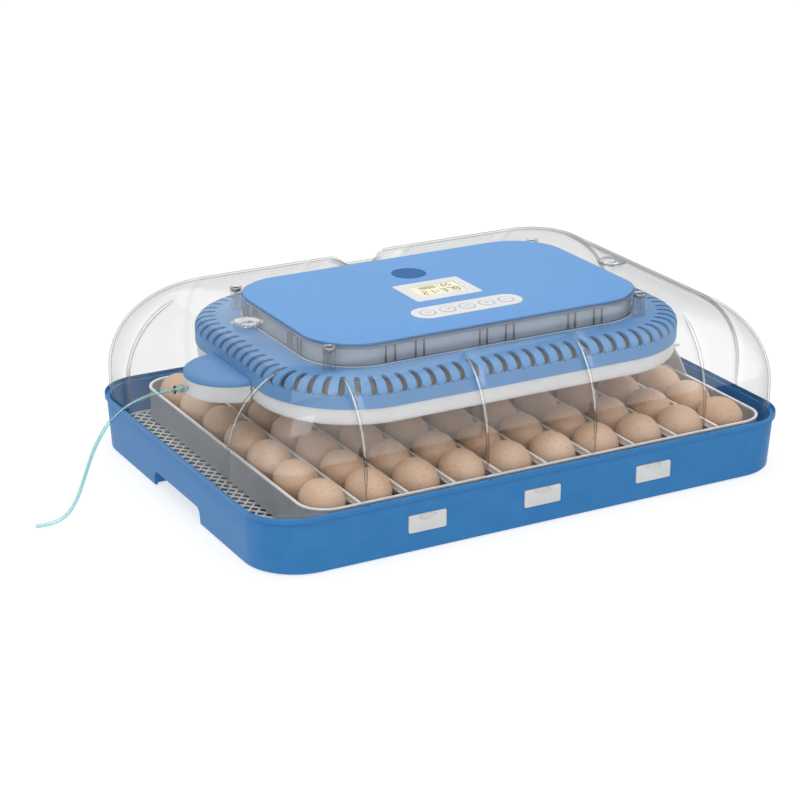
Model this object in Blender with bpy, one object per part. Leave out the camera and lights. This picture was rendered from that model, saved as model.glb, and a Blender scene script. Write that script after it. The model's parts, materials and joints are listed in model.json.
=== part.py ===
"""Seventy-egg tabletop incubator with an automatic turning tray. Metres, +Z up, +X along the length."""
import bpy
from math import pi, sin, cos, tan, radians, atan2, sqrt, floor
from mathutils import Vector

MM = 0.001

# ---- driving dimensions, millimetres -------------------------------------------------
BASE_FOOT = (289.9, 209.5, 53.0)      # half length, half width, corner radius at the foot
BASE_LIP = (293.0, 212.0, 48.0)       # outer edge of the rim
LIP_LOW, RIM_TOP, LEDGE = 52.0, 58.0, 54.0
BASE_START = 1.0                      # the wall stops above the ground, the pads reach it
FLOOR_LOW, FLOOR_TOP = 15.5, 18.7
MAT_LOW, MAT_TOP = 19.0, 20.6

DOME = (291.5, 210.5, 59.0)
DOME_SKIN = 2.2
DOME_FOOT, WALL_TOP, DOME_TOP = 54.3, 85.0, 175.0
SHOULDER_X, SHOULDER_Y = 87.0, 68.0
GROOVES_X = (-190.0, -62.0, 57.0, 184.0)
GROOVES_Y = (-120.0, 120.0)
GROOVE_HALF, GROOVE_DEPTH = 8.0, 4.0
CHANNEL = (-40.0, -30.0, 18.0, 28.0)  # ramp and flat of the cable channel at the back
CHANNEL_DEPTH = 9.0

PANEL = (182.0, 115.0, 55.0)
PANEL_Y = -3.0
PANEL_LOW, PANEL_TOP = 173.0, 176.0
DISPLAY = (-39.0, 35.5, -31.3, 24.0)
WINDOW = (-27.0, 24.5, -18.5, 12.5)
PILL_CENTRE, PILL_HALF, PILL_R = (-3.0, -65.3), 61.0, 16.5
BUTTONS_X = (-47.0, -25.0, -3.0, 19.0, 41.0)
BUTTON_R, BUTTON_TRAVEL = 7.4, 0.6
LAMP = (-1.5, 56.5, 17.5)
BOSSES = ((-175.0, 101.0), (-175.5, -107.0), (169.0, -110.5), (173.0, 98.5))
BOSS_R = 6.2

HOUSING = (228.0, 161.6, 98.7)
HOUSING_C = (-1.6, -2.0)
HOUSING_LOW, HOUSING_TOP, SHELL_LOW = 128.15, 153.0, 111.0
SLOTS, SLOT_W = 90, 4.6
POD_C, POD_A, POD_B = (-229.9, -4.0), 46.0, 45.0

TRAY = (-242.0, 270.0, 199.0, 29.0)   # low x, high x, half width, corner radius
TRAY_LOW, TRAY_TOP, TRAY_SKIN = 22.3, 55.6, 2.0
LANE, DIVIDER_X0 = 50.0, -191.3
EGG_FLOOR = (241.0, 195.0, 30.0, 11.5)  # half length, half width, corner radius, middle x
EGG_FLOOR_TOP = 28.6
TAB_TOP = 84.0
RACK_Z, MODULE, TEETH = (74.0, 84.0), 2.5, 12
PINION = (175.0, -15.0)
BACKLASH = 0.35

PORTS_X = (-127.5, -2.5, 124.0)
PORT_LOW, PORT_TOP, PORT_W = 19.5, 37.5, 40.0

HOSE_Y, HOSE_Z, HOSE_D = -5.0, 120.0, 4.0
VENTS = ((-212.0, -5.0), (204.0, -8.0))
INLET_X = -6.0

for old in list(bpy.data.objects):
    bpy.data.objects.remove(old, do_unlink=True)
COLL = bpy.context.scene.collection


# ---- materials -----------------------------------------------------------------------
def paint(name, rgb, rough, metal=0.0, alpha=1.0):
    mat = bpy.data.materials.new(name)
    mat.use_nodes = True
    bsdf = mat.node_tree.nodes["Principled BSDF"]
    bsdf.inputs["Base Color"].default_value = (*rgb, 1.0)
    bsdf.inputs["Roughness"].default_value = rough
    bsdf.inputs["Metallic"].default_value = metal
    bsdf.inputs["Alpha"].default_value = alpha
    return mat


SHADES = {
    "blue_base": ((0.055, 0.21, 0.50), 0.40, 0.0, 1.0),
    "blue_panel": ((0.20, 0.42, 0.75), 0.35, 0.0, 1.0),
    "blue_head": ((0.18, 0.38, 0.70), 0.40, 0.0, 1.0),
    "lamp_blue": ((0.03, 0.12, 0.32), 0.20, 0.0, 1.0),
    "clear": ((0.95, 0.97, 0.98), 0.05, 0.0, 0.25),
    "white": ((0.82, 0.82, 0.82), 0.40, 0.0, 1.0),
    "cream": ((0.86, 0.84, 0.58), 0.20, 0.0, 1.0),
    "tray_grey": ((0.55, 0.55, 0.55), 0.50, 0.0, 1.0),
    "mat_white": ((0.75, 0.75, 0.75), 0.60, 0.0, 1.0),
    "black": ((0.02, 0.02, 0.02), 0.50, 0.0, 1.0),
    "rubber": ((0.04, 0.04, 0.04), 0.80, 0.0, 1.0),
    "steel": ((0.60, 0.60, 0.62), 0.30, 1.0, 1.0),
    "board": ((0.02, 0.18, 0.07), 0.50, 0.0, 1.0),
    "teal": ((0.20, 0.55, 0.52), 0.25, 0.0, 0.8),
}


# ---- mesh helpers --------------------------------------------------------------------
def add(name, verts, faces, shade, smooth=0.0):
    mesh = bpy.data.meshes.new(name)
    mesh.from_pydata([(x * MM, y * MM, z * MM) for x, y, z in verts], [], faces)
    mesh.materials.append(paint(name, *SHADES[shade]))
    obj = bpy.data.objects.new(name, mesh)
    COLL.objects.link(obj)
    if smooth:
        for poly in mesh.polygons:
            poly.use_smooth = True
        mesh.set_sharp_from_angle(angle=radians(smooth))
    return obj


def tool(name, solids):
    """One hidden cutter made of several separate solids."""
    verts, faces = [], []
    for vs, fs in solids:
        off = len(verts)
        verts += vs
        faces += [tuple(i + off for i in f) for f in fs]
    obj = add(name, verts, faces, "black")
    obj.hide_render = True
    obj.display_type = "WIRE"
    return obj


def boolean(obj, op, name, solids):
    mod = obj.modifiers.new(name, "BOOLEAN")
    mod.operation = op
    mod.solver = "EXACT"
    mod.object = tool("tool_" + name, solids)


def cut(obj, name, solids):
    boolean(obj, "DIFFERENCE", name, solids)


def fuse(obj, name, solids):
    for i, solid in enumerate(solids):
        boolean(obj, "UNION", name + "_" + str(i), [solid])


def stack(loops, ring=False):
    """Skin a stack of equal loops, bottom to top on the outer side; a ring closes on itself."""
    n = len(loops[0])
    verts = [p for loop in loops for p in loop]
    m = len(loops)
    faces = []
    for j in range(m if ring else m - 1):
        a, b = j * n, ((j + 1) % m) * n
        faces += [(a + i, a + (i + 1) % n, b + (i + 1) % n, b + i) for i in range(n)]
    if not ring:
        faces.append(tuple(reversed(range(n))))
        faces.append(tuple((m - 1) * n + i for i in range(n)))
    return verts, faces


def flat(outline, z):
    return [(x, y, z) for x, y in outline]


def prism(outline, z0, z1):
    return stack([flat(outline, z0), flat(outline, z1)])


def box(x0, x1, y0, y1, z0, z1):
    return prism([(x0, y0), (x1, y0), (x1, y1), (x0, y1)], z0, z1)


def circle(cx, cy, r, n=32):
    return [(cx + r * cos(2 * pi * i / n), cy + r * sin(2 * pi * i / n)) for i in range(n)]


def cylinder(cx, cy, r, z0, z1, n=32):
    return prism(circle(cx, cy, r, n), z0, z1)


def along_x(outline_yz, x0, x1):
    """A prism whose section lies in Y and Z."""
    vs, fs = prism(outline_yz, x0, x1)
    return [(z, x, y) for x, y, z in vs], fs


def along_y(outline_zx, y0, y1):
    """A prism whose section lies in Z and X."""
    vs, fs = prism(outline_zx, y0, y1)
    return [(y, z, x) for x, y, z in vs], fs


def turned(profile, cx, cy, n=32):
    """A ring or solid turned about a vertical axis from (radius, height), bottom to top outside."""
    return stack([flat(circle(cx, cy, r, n), z) for r, z in profile], ring=True)


def turned_solid(profile, cx, cy, n=32):
    return stack([flat(circle(cx, cy, r, n), z) for r, z in profile])


def round_rect(a, b, r, cx=0.0, cy=0.0, n=8, xs=(), ys=(), xb=None):
    """Rounded rectangle, counter-clockwise from the front left corner; xs and ys add points."""
    hx, hy = a - r, b - r
    xb = xs if xb is None else xb
    pts = []

    def corner(sx, sy, start):
        for i in range(n + 1):
            t = radians(start + 90.0 * i / n)
            pts.append((cx + sx * hx + r * cos(t), cy + sy * hy + r * sin(t)))

    pts.extend((cx + x, cy - b) for x in fit_in(xs, hx, 150.0))
    corner(1, -1, 270)
    pts.extend((cx + a, cy + y) for y in fit_in(ys, hy, 100.0))
    corner(1, 1, 0)
    pts.extend((cx + x, cy + b) for x in reversed(fit_in(xb, hx, 150.0)))
    corner(-1, 1, 90)
    pts.extend((cx - a, cy + y) for y in reversed(fit_in(ys, hy, 100.0)))
    corner(-1, -1, 180)
    return pts


def fit_in(values, half, free):
    """Keep the outer stations inside the straight run of a side."""
    if not values:
        return []
    reach = max(abs(v) for v in values)
    s = min(1.0, (half - 1.0) / reach)
    return [v * s if abs(v) > free * min(1.0, half / reach) else v for v in values]


# ---- base ----------------------------------------------------------------------------
def base_outer(z):
    t = (z - BASE_START) / (LIP_LOW - BASE_START)
    return (BASE_FOOT[0] + 1.6 * t, BASE_FOOT[1] + 0.1 * t, BASE_FOOT[2] - 5.5 * t)


def base_wall(z, inset=0.0):
    a, b, r = base_outer(z)
    return flat(round_rect(a - inset, b - inset, r - inset), z)


def make_base():
    lip = BASE_LIP
    loops = [base_wall(BASE_START), base_wall(LIP_LOW - 0.4), base_wall(LIP_LOW)]
    loops += [flat(round_rect(*lip), LIP_LOW), flat(round_rect(*lip), RIM_TOP - 0.5)]
    loops += [flat(round_rect(lip[0] - 0.4, lip[1] - 0.4, lip[2] - 0.4), RIM_TOP)]
    loops += [flat(round_rect(lip[0] - 1.1, lip[1] - 1.1, lip[2] - 1.0), z) for z in (RIM_TOP, LEDGE)]
    loops += [[(x, y, LEDGE) for x, y, z in base_wall(LIP_LOW, 3.2)], base_wall(FLOOR_TOP, 3.2)]
    shell_v, shell_f = stack(loops)
    base = add("base_tub", shell_v, shell_f, "blue_base", 35)
    under = stack([base_wall(BASE_START - 2.0, 3.2), base_wall(FLOOR_LOW, 3.2)])
    cut(base, "base_underside", [under])
    pads = [cylinder(sx * 250, sy * 165, 14, 3.0, FLOOR_LOW + 1, 24) for sx in (-1, 1) for sy in (-1, 1)]
    fuse(base, "base_pad", pads + [box(-205, 205, -150, 150, 10.0, FLOOR_LOW + 1)])
    fuse(base, "grip_pocket", [box(-288.5, -275, -61, 56, 3.0, 17.5), box(275, 288.5, -61, 56, 3.0, 17.5)])
    troughs = [box(x - 32, x + 32, -140, 140, 12.5, 30) for x in (-160, -80, 0, 80, 160)]
    ports = [box(x - PORT_W / 2 - 0.3, x + PORT_W / 2 + 0.3, -230, -199, PORT_LOW - 0.4, PORT_TOP + 0.4)
             for x in PORTS_X]
    grip = [(-58, -5), (53, -5), (52.5, 8), (50, 14), (45, 17.2), (-50, 17.2), (-55, 14), (-57.5, 8)]
    grips = [along_x(grip, -300, -277), along_x(grip, 277, 300)]
    nicks = [box(x - 2, x + 2, y - 1.2, y + 1.2, 56.0, 60) for x in GROOVES_X for y in (-212.2, 212.2)]
    nicks += [box(x - 1.2, x + 1.2, y - 2, y + 2, 56.0, 60) for y in GROOVES_Y for x in (-293.2, 293.2)]
    cut(base, "base_openings", troughs + ports + grips + nicks)
    for i, (sx, sy) in enumerate(((-1, -1), (1, -1), (1, 1), (-1, 1))):
        profile = [(10.0, 0.0), (11.0, 0.6), (11.0, 2.7)]
        add("foot_" + str(i + 1), *turned_solid(profile, sx * 250, sy * 165, 24), "rubber", 35)
    add("mesh_mat", *prism(round_rect(284, 203, 45), MAT_LOW, MAT_TOP), "mat_white")
    make_egg_floor()


def make_egg_floor():
    """Raised rolling floor for the eggs, standing on rails inside the tray's walls."""
    a, b, r, cx = EGG_FLOOR
    top = EGG_FLOOR_TOP
    plate = add("egg_floor", *prism(round_rect(a, b, r, cx), top - 1.8, top), "mat_white")
    fuse(plate, "floor_rail", [box(-190, 213, y - 1.5, y + 1.5, MAT_TOP + 0.3, top - 0.9) for y in (-188, -83.5, 83.5, 188)])
    vents = [box(x - 19, x + 19, y - 11, y + 11, 20, 35) for y in (-137.7, -29.7, 24.3, 132.3)
             for x in [-190 + 50 * k for k in range(9)]]
    cut(plate, "floor_vents", vents)


def wall_front(z):
    return -base_outer(z)[1]


def make_port(i, x):
    """A flap hinged along its lower edge on a barrel, following the wall's slope."""
    low, top = PORT_LOW + 1.6, PORT_TOP
    lean = atan2(0.1, LIP_LOW - BASE_START)
    axis_y = wall_front(low) + 0.5
    pts = []
    for k in range(9):
        t = lean + pi + pi * k / 8
        pts.append((axis_y + 1.5 * cos(t), low + 1.5 * sin(t)))
    rise = (top - low) / cos(lean)
    for s in (1.5, -1.5):
        pts.append((axis_y + s * cos(lean) - rise * sin(lean), low + s * sin(lean) + rise * cos(lean)))
    flap = add("port_door_" + str(i), *along_x(pts, x - PORT_W / 2, x + PORT_W / 2), "white", 35)
    finger = [(wall_front(top) - 2 + u * 3.4, top + 3 + v * 6) for u, v in circle(0, 0, 1, 16)]
    cut(flap, "finger_" + str(i), [along_x(finger, x - 7, x + 7)])


# ---- egg tray ------------------------------------------------------------------------
def tray_loop(grow, z):
    x0, x1, w, r = TRAY
    return flat(round_rect((x1 - x0) / 2 + grow, w + grow, r + grow, (x0 + x1) / 2, 0, 6), z)


def make_tray():
    t = TRAY_SKIN
    loops = [tray_loop(0, TRAY_LOW), tray_loop(0, TRAY_TOP - 2.0), tray_loop(0.7, TRAY_TOP - 1.8)]
    loops += [tray_loop(0.7, TRAY_TOP), tray_loop(-t, TRAY_TOP), tray_loop(-t, TRAY_LOW)]
    tray = add("tray_frame", *stack(loops, ring=True), "tray_grey", 35)
    x1 = TRAY[1]
    tab = [(-58, 50), (58, 50), (58, 56), (46, 70), (37, 76), (31, TAB_TOP)]
    tab += [(-31, TAB_TOP), (-37, 76), (-46, 70), (-58, 56)]
    fuse(tray, "tray_tab", [along_x(tab, x1 - t, x1)])
    for i in range(9):
        x = DIVIDER_X0 + LANE * i
        web = [(49.6, -1.4), (49.6, 1.4), (50.6, 1.4), (50.9, 0.9), (54.5, 0.9), (54.8, 1.3), (55.6, 1.3)]
        web += [(55.6, -1.3), (54.8, -1.3), (54.5, -0.9), (50.9, -0.9), (50.6, -1.4)]
        outline = [(z, x + dx) for z, dx in reversed(web)]
        end = TRAY[2] - t - 0.3
        bar = add("divider_" + str(i + 1), *along_y(outline, -end, end), "white")
        legs = [box(x - 0.8, x + 0.8, *span, EGG_FLOOR_TOP + 0.8, 52.0) for span in ((-end, 6 - end), (end - 6, end))]
        fuse(bar, "divider_leg_" + str(i + 1), legs)
    make_rack()


def make_rack():
    """Rack with its pitch line on y = 0, meshing with the drive pinion."""
    pitch = pi * MODULE
    x_end = TRAY[1] - TRAY_SKIN - 0.3
    lean = tan(radians(20))
    add_, ded = 0.9 * MODULE, 1.25 * MODULE
    half = pitch / 4 - BACKLASH / 2
    pts = [(x_end, ded), (x_end, 11.0), (132.0, 11.0), (132.0, ded)]
    first = floor((138.0 - PINION[0]) / pitch) + 1
    for k in range(first, first + 12):
        c = PINION[0] + k * pitch
        pts += [(c - half - ded * lean, ded), (c - half + add_ * lean, -add_)]
        pts += [(c + half - add_ * lean, -add_), (c + half + ded * lean, ded)]
    add("tray_rack", *prism(pts, *RACK_Z), "white")


def gear_outline(teeth, module, cx, cy, phase):
    """Involute pinion, thinned for running clearance."""
    rp = teeth * module / 2
    rb, ra, rr = rp * cos(radians(20)), rp + 0.9 * module, rp - 1.2 * module
    inv20 = tan(radians(20)) - radians(20)
    half_p = (pi * module / 2 - BACKLASH) / (2 * rp)
    pts = []
    for k in range(teeth):
        mid = phase + 2 * pi * k / teeth
        flank = []
        for r in (max(rb, rr), rb + 0.33 * (ra - rb), rb + 0.67 * (ra - rb), ra):
            a = sqrt(max(0.0, (r / rb) ** 2 - 1))
            flank.append((r, half_p + inv20 - (a - atan2(a, 1.0))))
        flank = [(rr, flank[0][1])] + flank
        pts += [(cx + r * cos(mid - h), cy + r * sin(mid - h)) for r, h in flank]
        pts += [(cx + r * cos(mid + h), cy + r * sin(mid + h)) for r, h in reversed(flank)]
    return pts


# ---- dome ----------------------------------------------------------------------------
def stations(centres):
    return [c + d for c in centres for d in (-GROOVE_HALF, 0.0, GROOVE_HALF)]


DOME_XS = stations(GROOVES_X)
DOME_YS = stations(GROOVES_Y)
DOME_XB = sorted(DOME_XS + list(CHANNEL))
CORNER = 8                            # steps in each corner of the dome


def dome_rect(a, b, r, cy, values):
    """Loop with tags: the same stations for every loop of the dome."""
    plain = round_rect(a, b, r, 0.0, cy, CORNER, DOME_XS, DOME_YS, DOME_XB)
    tags = []
    tags += [("f", x) for x in DOME_XS] + [None] * (CORNER + 1)
    tags += [("r", y) for y in DOME_YS] + [None] * (CORNER + 1)
    tags += [("b", x) for x in reversed(DOME_XB)] + [None] * (CORNER + 1)
    tags += [("l", y) for y in reversed(DOME_YS)] + [None] * (CORNER + 1)
    z, dip, nx, ny, nz, chan = values
    out = []
    for (x, y), tag in zip(plain, tags):
        depth, drop = 0.0, 0.0
        if tag:
            centres = GROOVES_X if tag[0] in "fb" else GROOVES_Y
            if tag[1] in centres:
                depth = dip
            if tag[0] == "b" and tag[1] in CHANNEL[1:3]:
                drop = chan
        side = tag[0] if tag else ""
        x += depth * nx * (-1 if side == "r" else 1 if side == "l" else 0)
        y += (depth * ny + drop * ny) * (1 if side == "f" else -1 if side == "b" else 0)
        out.append((x, y, z - depth * nz - drop * nz))
    return out


def dome_loop(tau, skin, z=None):
    k = 1 - cos(tau)
    high = DOME_TOP - WALL_TOP
    nx, nzx = cos(tau) / SHOULDER_X, sin(tau) / high
    ny, nzy = cos(tau) / SHOULDER_Y, sin(tau) / high
    lx, ly = sqrt(nx * nx + nzx * nzx), sqrt(ny * ny + nzy * nzy)
    nx, ny, nz = nx / lx, ny / ly, (nzx / lx + nzy / ly) / 2
    a = DOME[0] - SHOULDER_X * k - skin * nx
    b = DOME[1] - SHOULDER_Y * k - skin * ny
    r = DOME[2] * (1 - 0.35 * k) - skin
    height = WALL_TOP + high * sin(tau) - skin * nz if z is None else z
    fade = max(0.0, min(1.0, (radians(74) - tau) / radians(24)))
    chan = CHANNEL_DEPTH * max(0.0, min(1.0, (tau - 0.15) / 0.45))
    return dome_rect(a, b, r, 0.0, (height, GROOVE_DEPTH * fade, nx, ny, nz, chan))


def opening_loop(grow, z, chan=0.0):
    return dome_rect(PANEL[0] + grow, PANEL[1] + grow, PANEL[2] + grow, PANEL_Y, (z, 0, 0, 0, 1, chan))


def make_dome():
    taus = [radians(t) for t in (0, 20, 38, 54, 68, 80, 90)]
    skin = DOME_SKIN
    loops = [dome_loop(0, 0, DOME_FOOT)] + [dome_loop(t, 0) for t in taus]
    loops += [opening_loop(1.6, DOME_TOP, CHANNEL_DEPTH), opening_loop(1.6, DOME_TOP + 0.5)]
    loops += [opening_loop(0.3, DOME_TOP + 0.5), opening_loop(0.3, PANEL_LOW - 0.3)]
    loops += [opening_loop(-1.5, PANEL_LOW - 0.3), opening_loop(-1.5, HOUSING_TOP + 0.3)]
    loops += [opening_loop(1.6, HOUSING_TOP + 0.3), opening_loop(1.6, DOME_TOP - skin, CHANNEL_DEPTH)]
    loops += [dome_loop(t, skin) for t in reversed(taus)] + [dome_loop(0, skin, DOME_FOOT)]
    dome = add("clear_dome", *stack(loops, ring=True), "clear", 35)
    fuse(dome, "boss", [cylinder(x, y, BOSS_R, HOUSING_TOP + 0.3, PANEL_TOP, 16) for x, y in BOSSES])
    fuse(dome, "vent_seat", [cylinder(x, y, 15.5, 169.0, 175.8, 24) for x, y in VENTS])
    holes = []
    for x, y in VENTS:
        holes += [cylinder(x, y, 3.06, 160, 180, 24)]
        holes += [cylinder(x, y + d, 2.6, 160, 180, 8) for d in (-8.5, 8.5)]
    for x, y in BOSSES:
        profile = [(1.9, 157.0), (1.9, 171.4), (5.0, 171.5), (5.0, 180.0)]
        holes.append(turned_solid(profile, x, y, 16))
    holes.append(along_x(circle(HOSE_Y, HOSE_Z, 4.4, 20), -300, -272))
    holes.append(box(INLET_X - 8.3, INLET_X + 8.3, 100, 122, 166.4, 172.2))
    cut(dome, "dome_holes", holes)
    for i, (x, y) in enumerate(BOSSES):
        profile = [(1.0, 158.5), (1.7, 159.5), (1.7, 171.8), (4.7, 171.8), (4.7, 173.8), (4.0, 174.4)]
        profile += [(2.0, 173.2)]
        add("screw_" + str(i + 1), *turned_solid(profile, x, y, 16), "black", 35)
    for i, (x, y) in enumerate(VENTS):
        profile = [(3.0, 170.5), (3.0, 176.1), (13.6, 176.1), (14.0, 176.8), (12.0, 178.0), (8.0, 178.8), (3.0, 179.1)]
        cap = add("vent_cap_" + str(i + 1), *turned_solid(profile, x, y, 24), "clear", 35)
        cut(cap, "cap_holes_" + str(i), [cylinder(x, y + d, 2.4, 160, 185, 8) for d in (-8.5, 8.5)])
    ring = [(HOSE_Y + 4.1 * cos(t), HOSE_Z + 4.1 * sin(t)) for t in [2 * pi * k / 20 for k in range(20)]]
    grommet = add("hose_grommet", *along_x(ring, -286.0, -281.0), "rubber", 35)
    cut(grommet, "grommet_bore", [along_x(circle(HOSE_Y, HOSE_Z, 2.3, 20), -300, -270)])
    add("power_inlet", *box(INLET_X - 8, INLET_X + 8, 110.2, 117.4, 166.7, 171.9), "black")


# ---- control panel -------------------------------------------------------------------
def pill(r, half, n=6):
    cx, cy = PILL_CENTRE
    return round_rect(half, r, r - 0.001, cx, cy, n)


def make_panel():
    grow = 0.3
    loops = [flat(round_rect(*PANEL, 0, PANEL_Y, CORNER), z) for z in (PANEL_LOW, PANEL_TOP - 0.5)]
    loops.append(flat(round_rect(PANEL[0] - 0.5, PANEL[1] - 0.5, PANEL[2] - 0.5, 0, PANEL_Y, CORNER), PANEL_TOP))
    panel = add("control_panel", *stack(loops), "blue_panel", 35)
    x0, x1, y0, y1 = DISPLAY
    seat = 174.2
    pockets = [box(x0 - grow, x1 + grow, y0 - grow, y1 + grow, seat, 180)]
    pockets.append(prism(pill(PILL_R + grow, PILL_HALF + grow), seat, 180))
    pockets.append(cylinder(LAMP[0], LAMP[1], LAMP[2] + grow, seat, 180, 40))
    cut(panel, "panel_pockets", pockets)
    bezel = add("display_bezel", *box(x0, x1, y0, y1, seat + 0.3, PANEL_TOP + 0.4), "white")
    w = WINDOW
    cut(bezel, "display_window", [box(w[0], w[1], w[2], w[3], 170, 180)])
    add("lcd_glass", *box(w[0] + 0.3, w[1] - 0.3, w[2] + 0.3, w[3] - 0.3, seat + 0.3, PANEL_TOP + 0.1), "cream")
    strip = add("button_bezel", *prism(pill(PILL_R, PILL_HALF), seat + 0.3, PANEL_TOP + 0.4), "white", 35)
    cut(strip, "button_holes", [cylinder(x, PILL_CENTRE[1], BUTTON_R + 0.3, 170, 180, 20) for x in BUTTONS_X])
    for i, x in enumerate(BUTTONS_X):
        profile = [(BUTTON_R, seat + 0.9), (BUTTON_R, 176.3), (BUTTON_R - 0.5, 176.8)]
        add("button_" + str(i + 1), *turned_solid(profile, x, PILL_CENTRE[1], 20), "white", 35)
    profile = [(LAMP[2], seat + 0.3), (LAMP[2], 175.4), (LAMP[2] - 0.5, 175.9)]
    add("lamp_lens", *turned_solid(profile, LAMP[0], LAMP[1], 40), "lamp_blue", 35)


# ---- head unit -----------------------------------------------------------------------
def housing_loop(inset, z, n=8):
    a, b, r = HOUSING
    return flat(round_rect(a - inset, b - inset, r - inset, *HOUSING_C, n), z)


def slot_frames():
    """Evenly spaced stations round the housing: point on the outline and outward direction."""
    a, b, r = HOUSING
    hx, hy = a - r, b - r
    runs = [(2 * hx, "s", -hx, -b, 1, 0), (pi * r / 2, "c", hx, -hy, 270, 0), (2 * hy, "s", a, -hy, 0, 1),
            (pi * r / 2, "c", hx, hy, 0, 0), (2 * hx, "s", hx, b, -1, 0), (pi * r / 2, "c", -hx, hy, 90, 0),
            (2 * hy, "s", -a, hy, 0, -1), (pi * r / 2, "c", -hx, -hy, 180, 0)]
    total = sum(run[0] for run in runs)
    out = []
    for k in range(SLOTS):
        s = (k + 0.35) * total / SLOTS
        for length, kind, px, py, d0, d1 in runs:
            if s <= length:
                break
            s -= length
        if kind == "s":
            x, y, nx, ny = px + d0 * s, py + d1 * s, d1, -d0
        else:
            t = radians(d0) + s / r
            nx, ny = cos(t), sin(t)
            x, y = px + r * nx, py + r * ny
        out.append((x + HOUSING_C[0], y + HOUSING_C[1], nx, ny))
    return out


def slot_box(x, y, nx, ny):
    w = SLOT_W / 2
    corners = []
    for u, v in ((6, -w), (6, w), (-17, w), (-17, -w)):
        corners.append((x + u * nx - v * ny, y + u * ny + v * nx))
    return prism(corners, 142.0, 165.0)


def make_housing():
    low = HOUSING_LOW
    outer = [(0, low), (0, 142.6), (2.0, 148.6), (8.0, 152.0), (19.0, 153.0)]
    inner = [(2.5, low), (2.5, 141.6), (9.0, 149.5), (19.0, 150.5)]
    loops = [housing_loop(i, z) for i, z in reversed(inner)] + [housing_loop(i, z) for i, z in outer]
    housing = add("vent_housing", *stack(loops), "blue_head", 35)
    cut(housing, "housing_slots", [slot_box(*frame) for frame in slot_frames()])
    fuse(housing, "board_post", [cylinder(x, y, 4, 151.5, 159.7, 12) for x in (-60, 60) for y in (-35, 25)])
    low_loops = [(6.0, SHELL_LOW + 2.5), (4.0, 127.85), (1.5, 127.85), (2.0, SHELL_LOW + 3), (4.0, SHELL_LOW)]
    shell = add("lower_shell", *stack([housing_loop(i, z) for i, z in low_loops]), "white", 35)
    grille = [cylinder(0, -2, 48, 100, 120, 32)]
    grille += [box(sx * 150 - 25, sx * 150 + 25, y - 4, y + 4, 100, 120) for sx in (-1, 1) for y in (-70, -40, 66, 96)]
    grille += [cylinder(*PINION, 5.0, 100, 120, 20), cylinder(60, 80, 3.6, 100, 120, 16)]
    cut(shell, "shell_openings", grille)


def pod_loop(inset, z, n=20):
    cx, cy = POD_C
    pts = [(cx, cy + POD_B - inset)]
    for k in range(1, n):
        t = pi / 2 + pi * k / n
        pts.append((cx + (POD_A - inset) * cos(t), cy + (POD_B - inset) * sin(t)))
    pts.append((cx, cy - POD_B + inset))
    return flat(pts, z)


def make_pod():
    """Pump pod on the head unit's left end: a white tub and a blue lid."""
    x_in = POD_C[0] - 2.0
    loops = [pod_loop(2.0, SHELL_LOW), pod_loop(0.5, SHELL_LOW + 2), pod_loop(0.0, 127.85)]
    body = add("pod_body", *stack(loops), "white", 35)
    room = [[(min(x, x_in), y, z) for x, y, z in pod_loop(2.2, h)] for h in (SHELL_LOW + 2.5, 135.0)]
    cut(body, "pod_room", [stack(room), along_x(circle(HOSE_Y, HOSE_Z, 2.1, 16), -290, -262)])
    loops = [pod_loop(0.0, HOUSING_LOW), pod_loop(0.0, 130.0), pod_loop(1.2, 132.4), pod_loop(4.0, 134.0)]
    cover = add("pod_cover", *stack(loops), "blue_head", 35)
    room = [[(min(x, x_in), y, z) for x, y, z in pod_loop(2.4, h)] for h in (120.0, 131.0)]
    cut(cover, "cover_room", [stack(room)])
    add("water_pump", *box(-262, -236, -20, 12, 113.8, 127.5), "black")
    rings = [(1.0, -286.2), (1.0, -267.0), (2.0, -267.0), (2.0, -278.0), (3.5, -278.2), (3.5, -279.7),
             (2.0, -279.9), (2.0, -284.5), (1.8, -286.2)]
    loops = [[(x, HOSE_Y + v, HOSE_Z + w) for v, w in circle(0, 0, r, 16)] for r, x in reversed(rings)]
    vs, fs = stack(loops, ring=True)
    add("hose_nipple", vs, fs, "tray_grey", 35)
    loops = [[(x, HOSE_Y + v, HOSE_Z + w) for v, w in circle(0, 0, r, 16)]
             for r, x in ((2.25, -290.4), (3.8, -290.4), (3.8, -288.0), (2.25, -288.0))]
    add("hose_clip", *stack(loops, ring=True), "black", 35)


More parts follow.
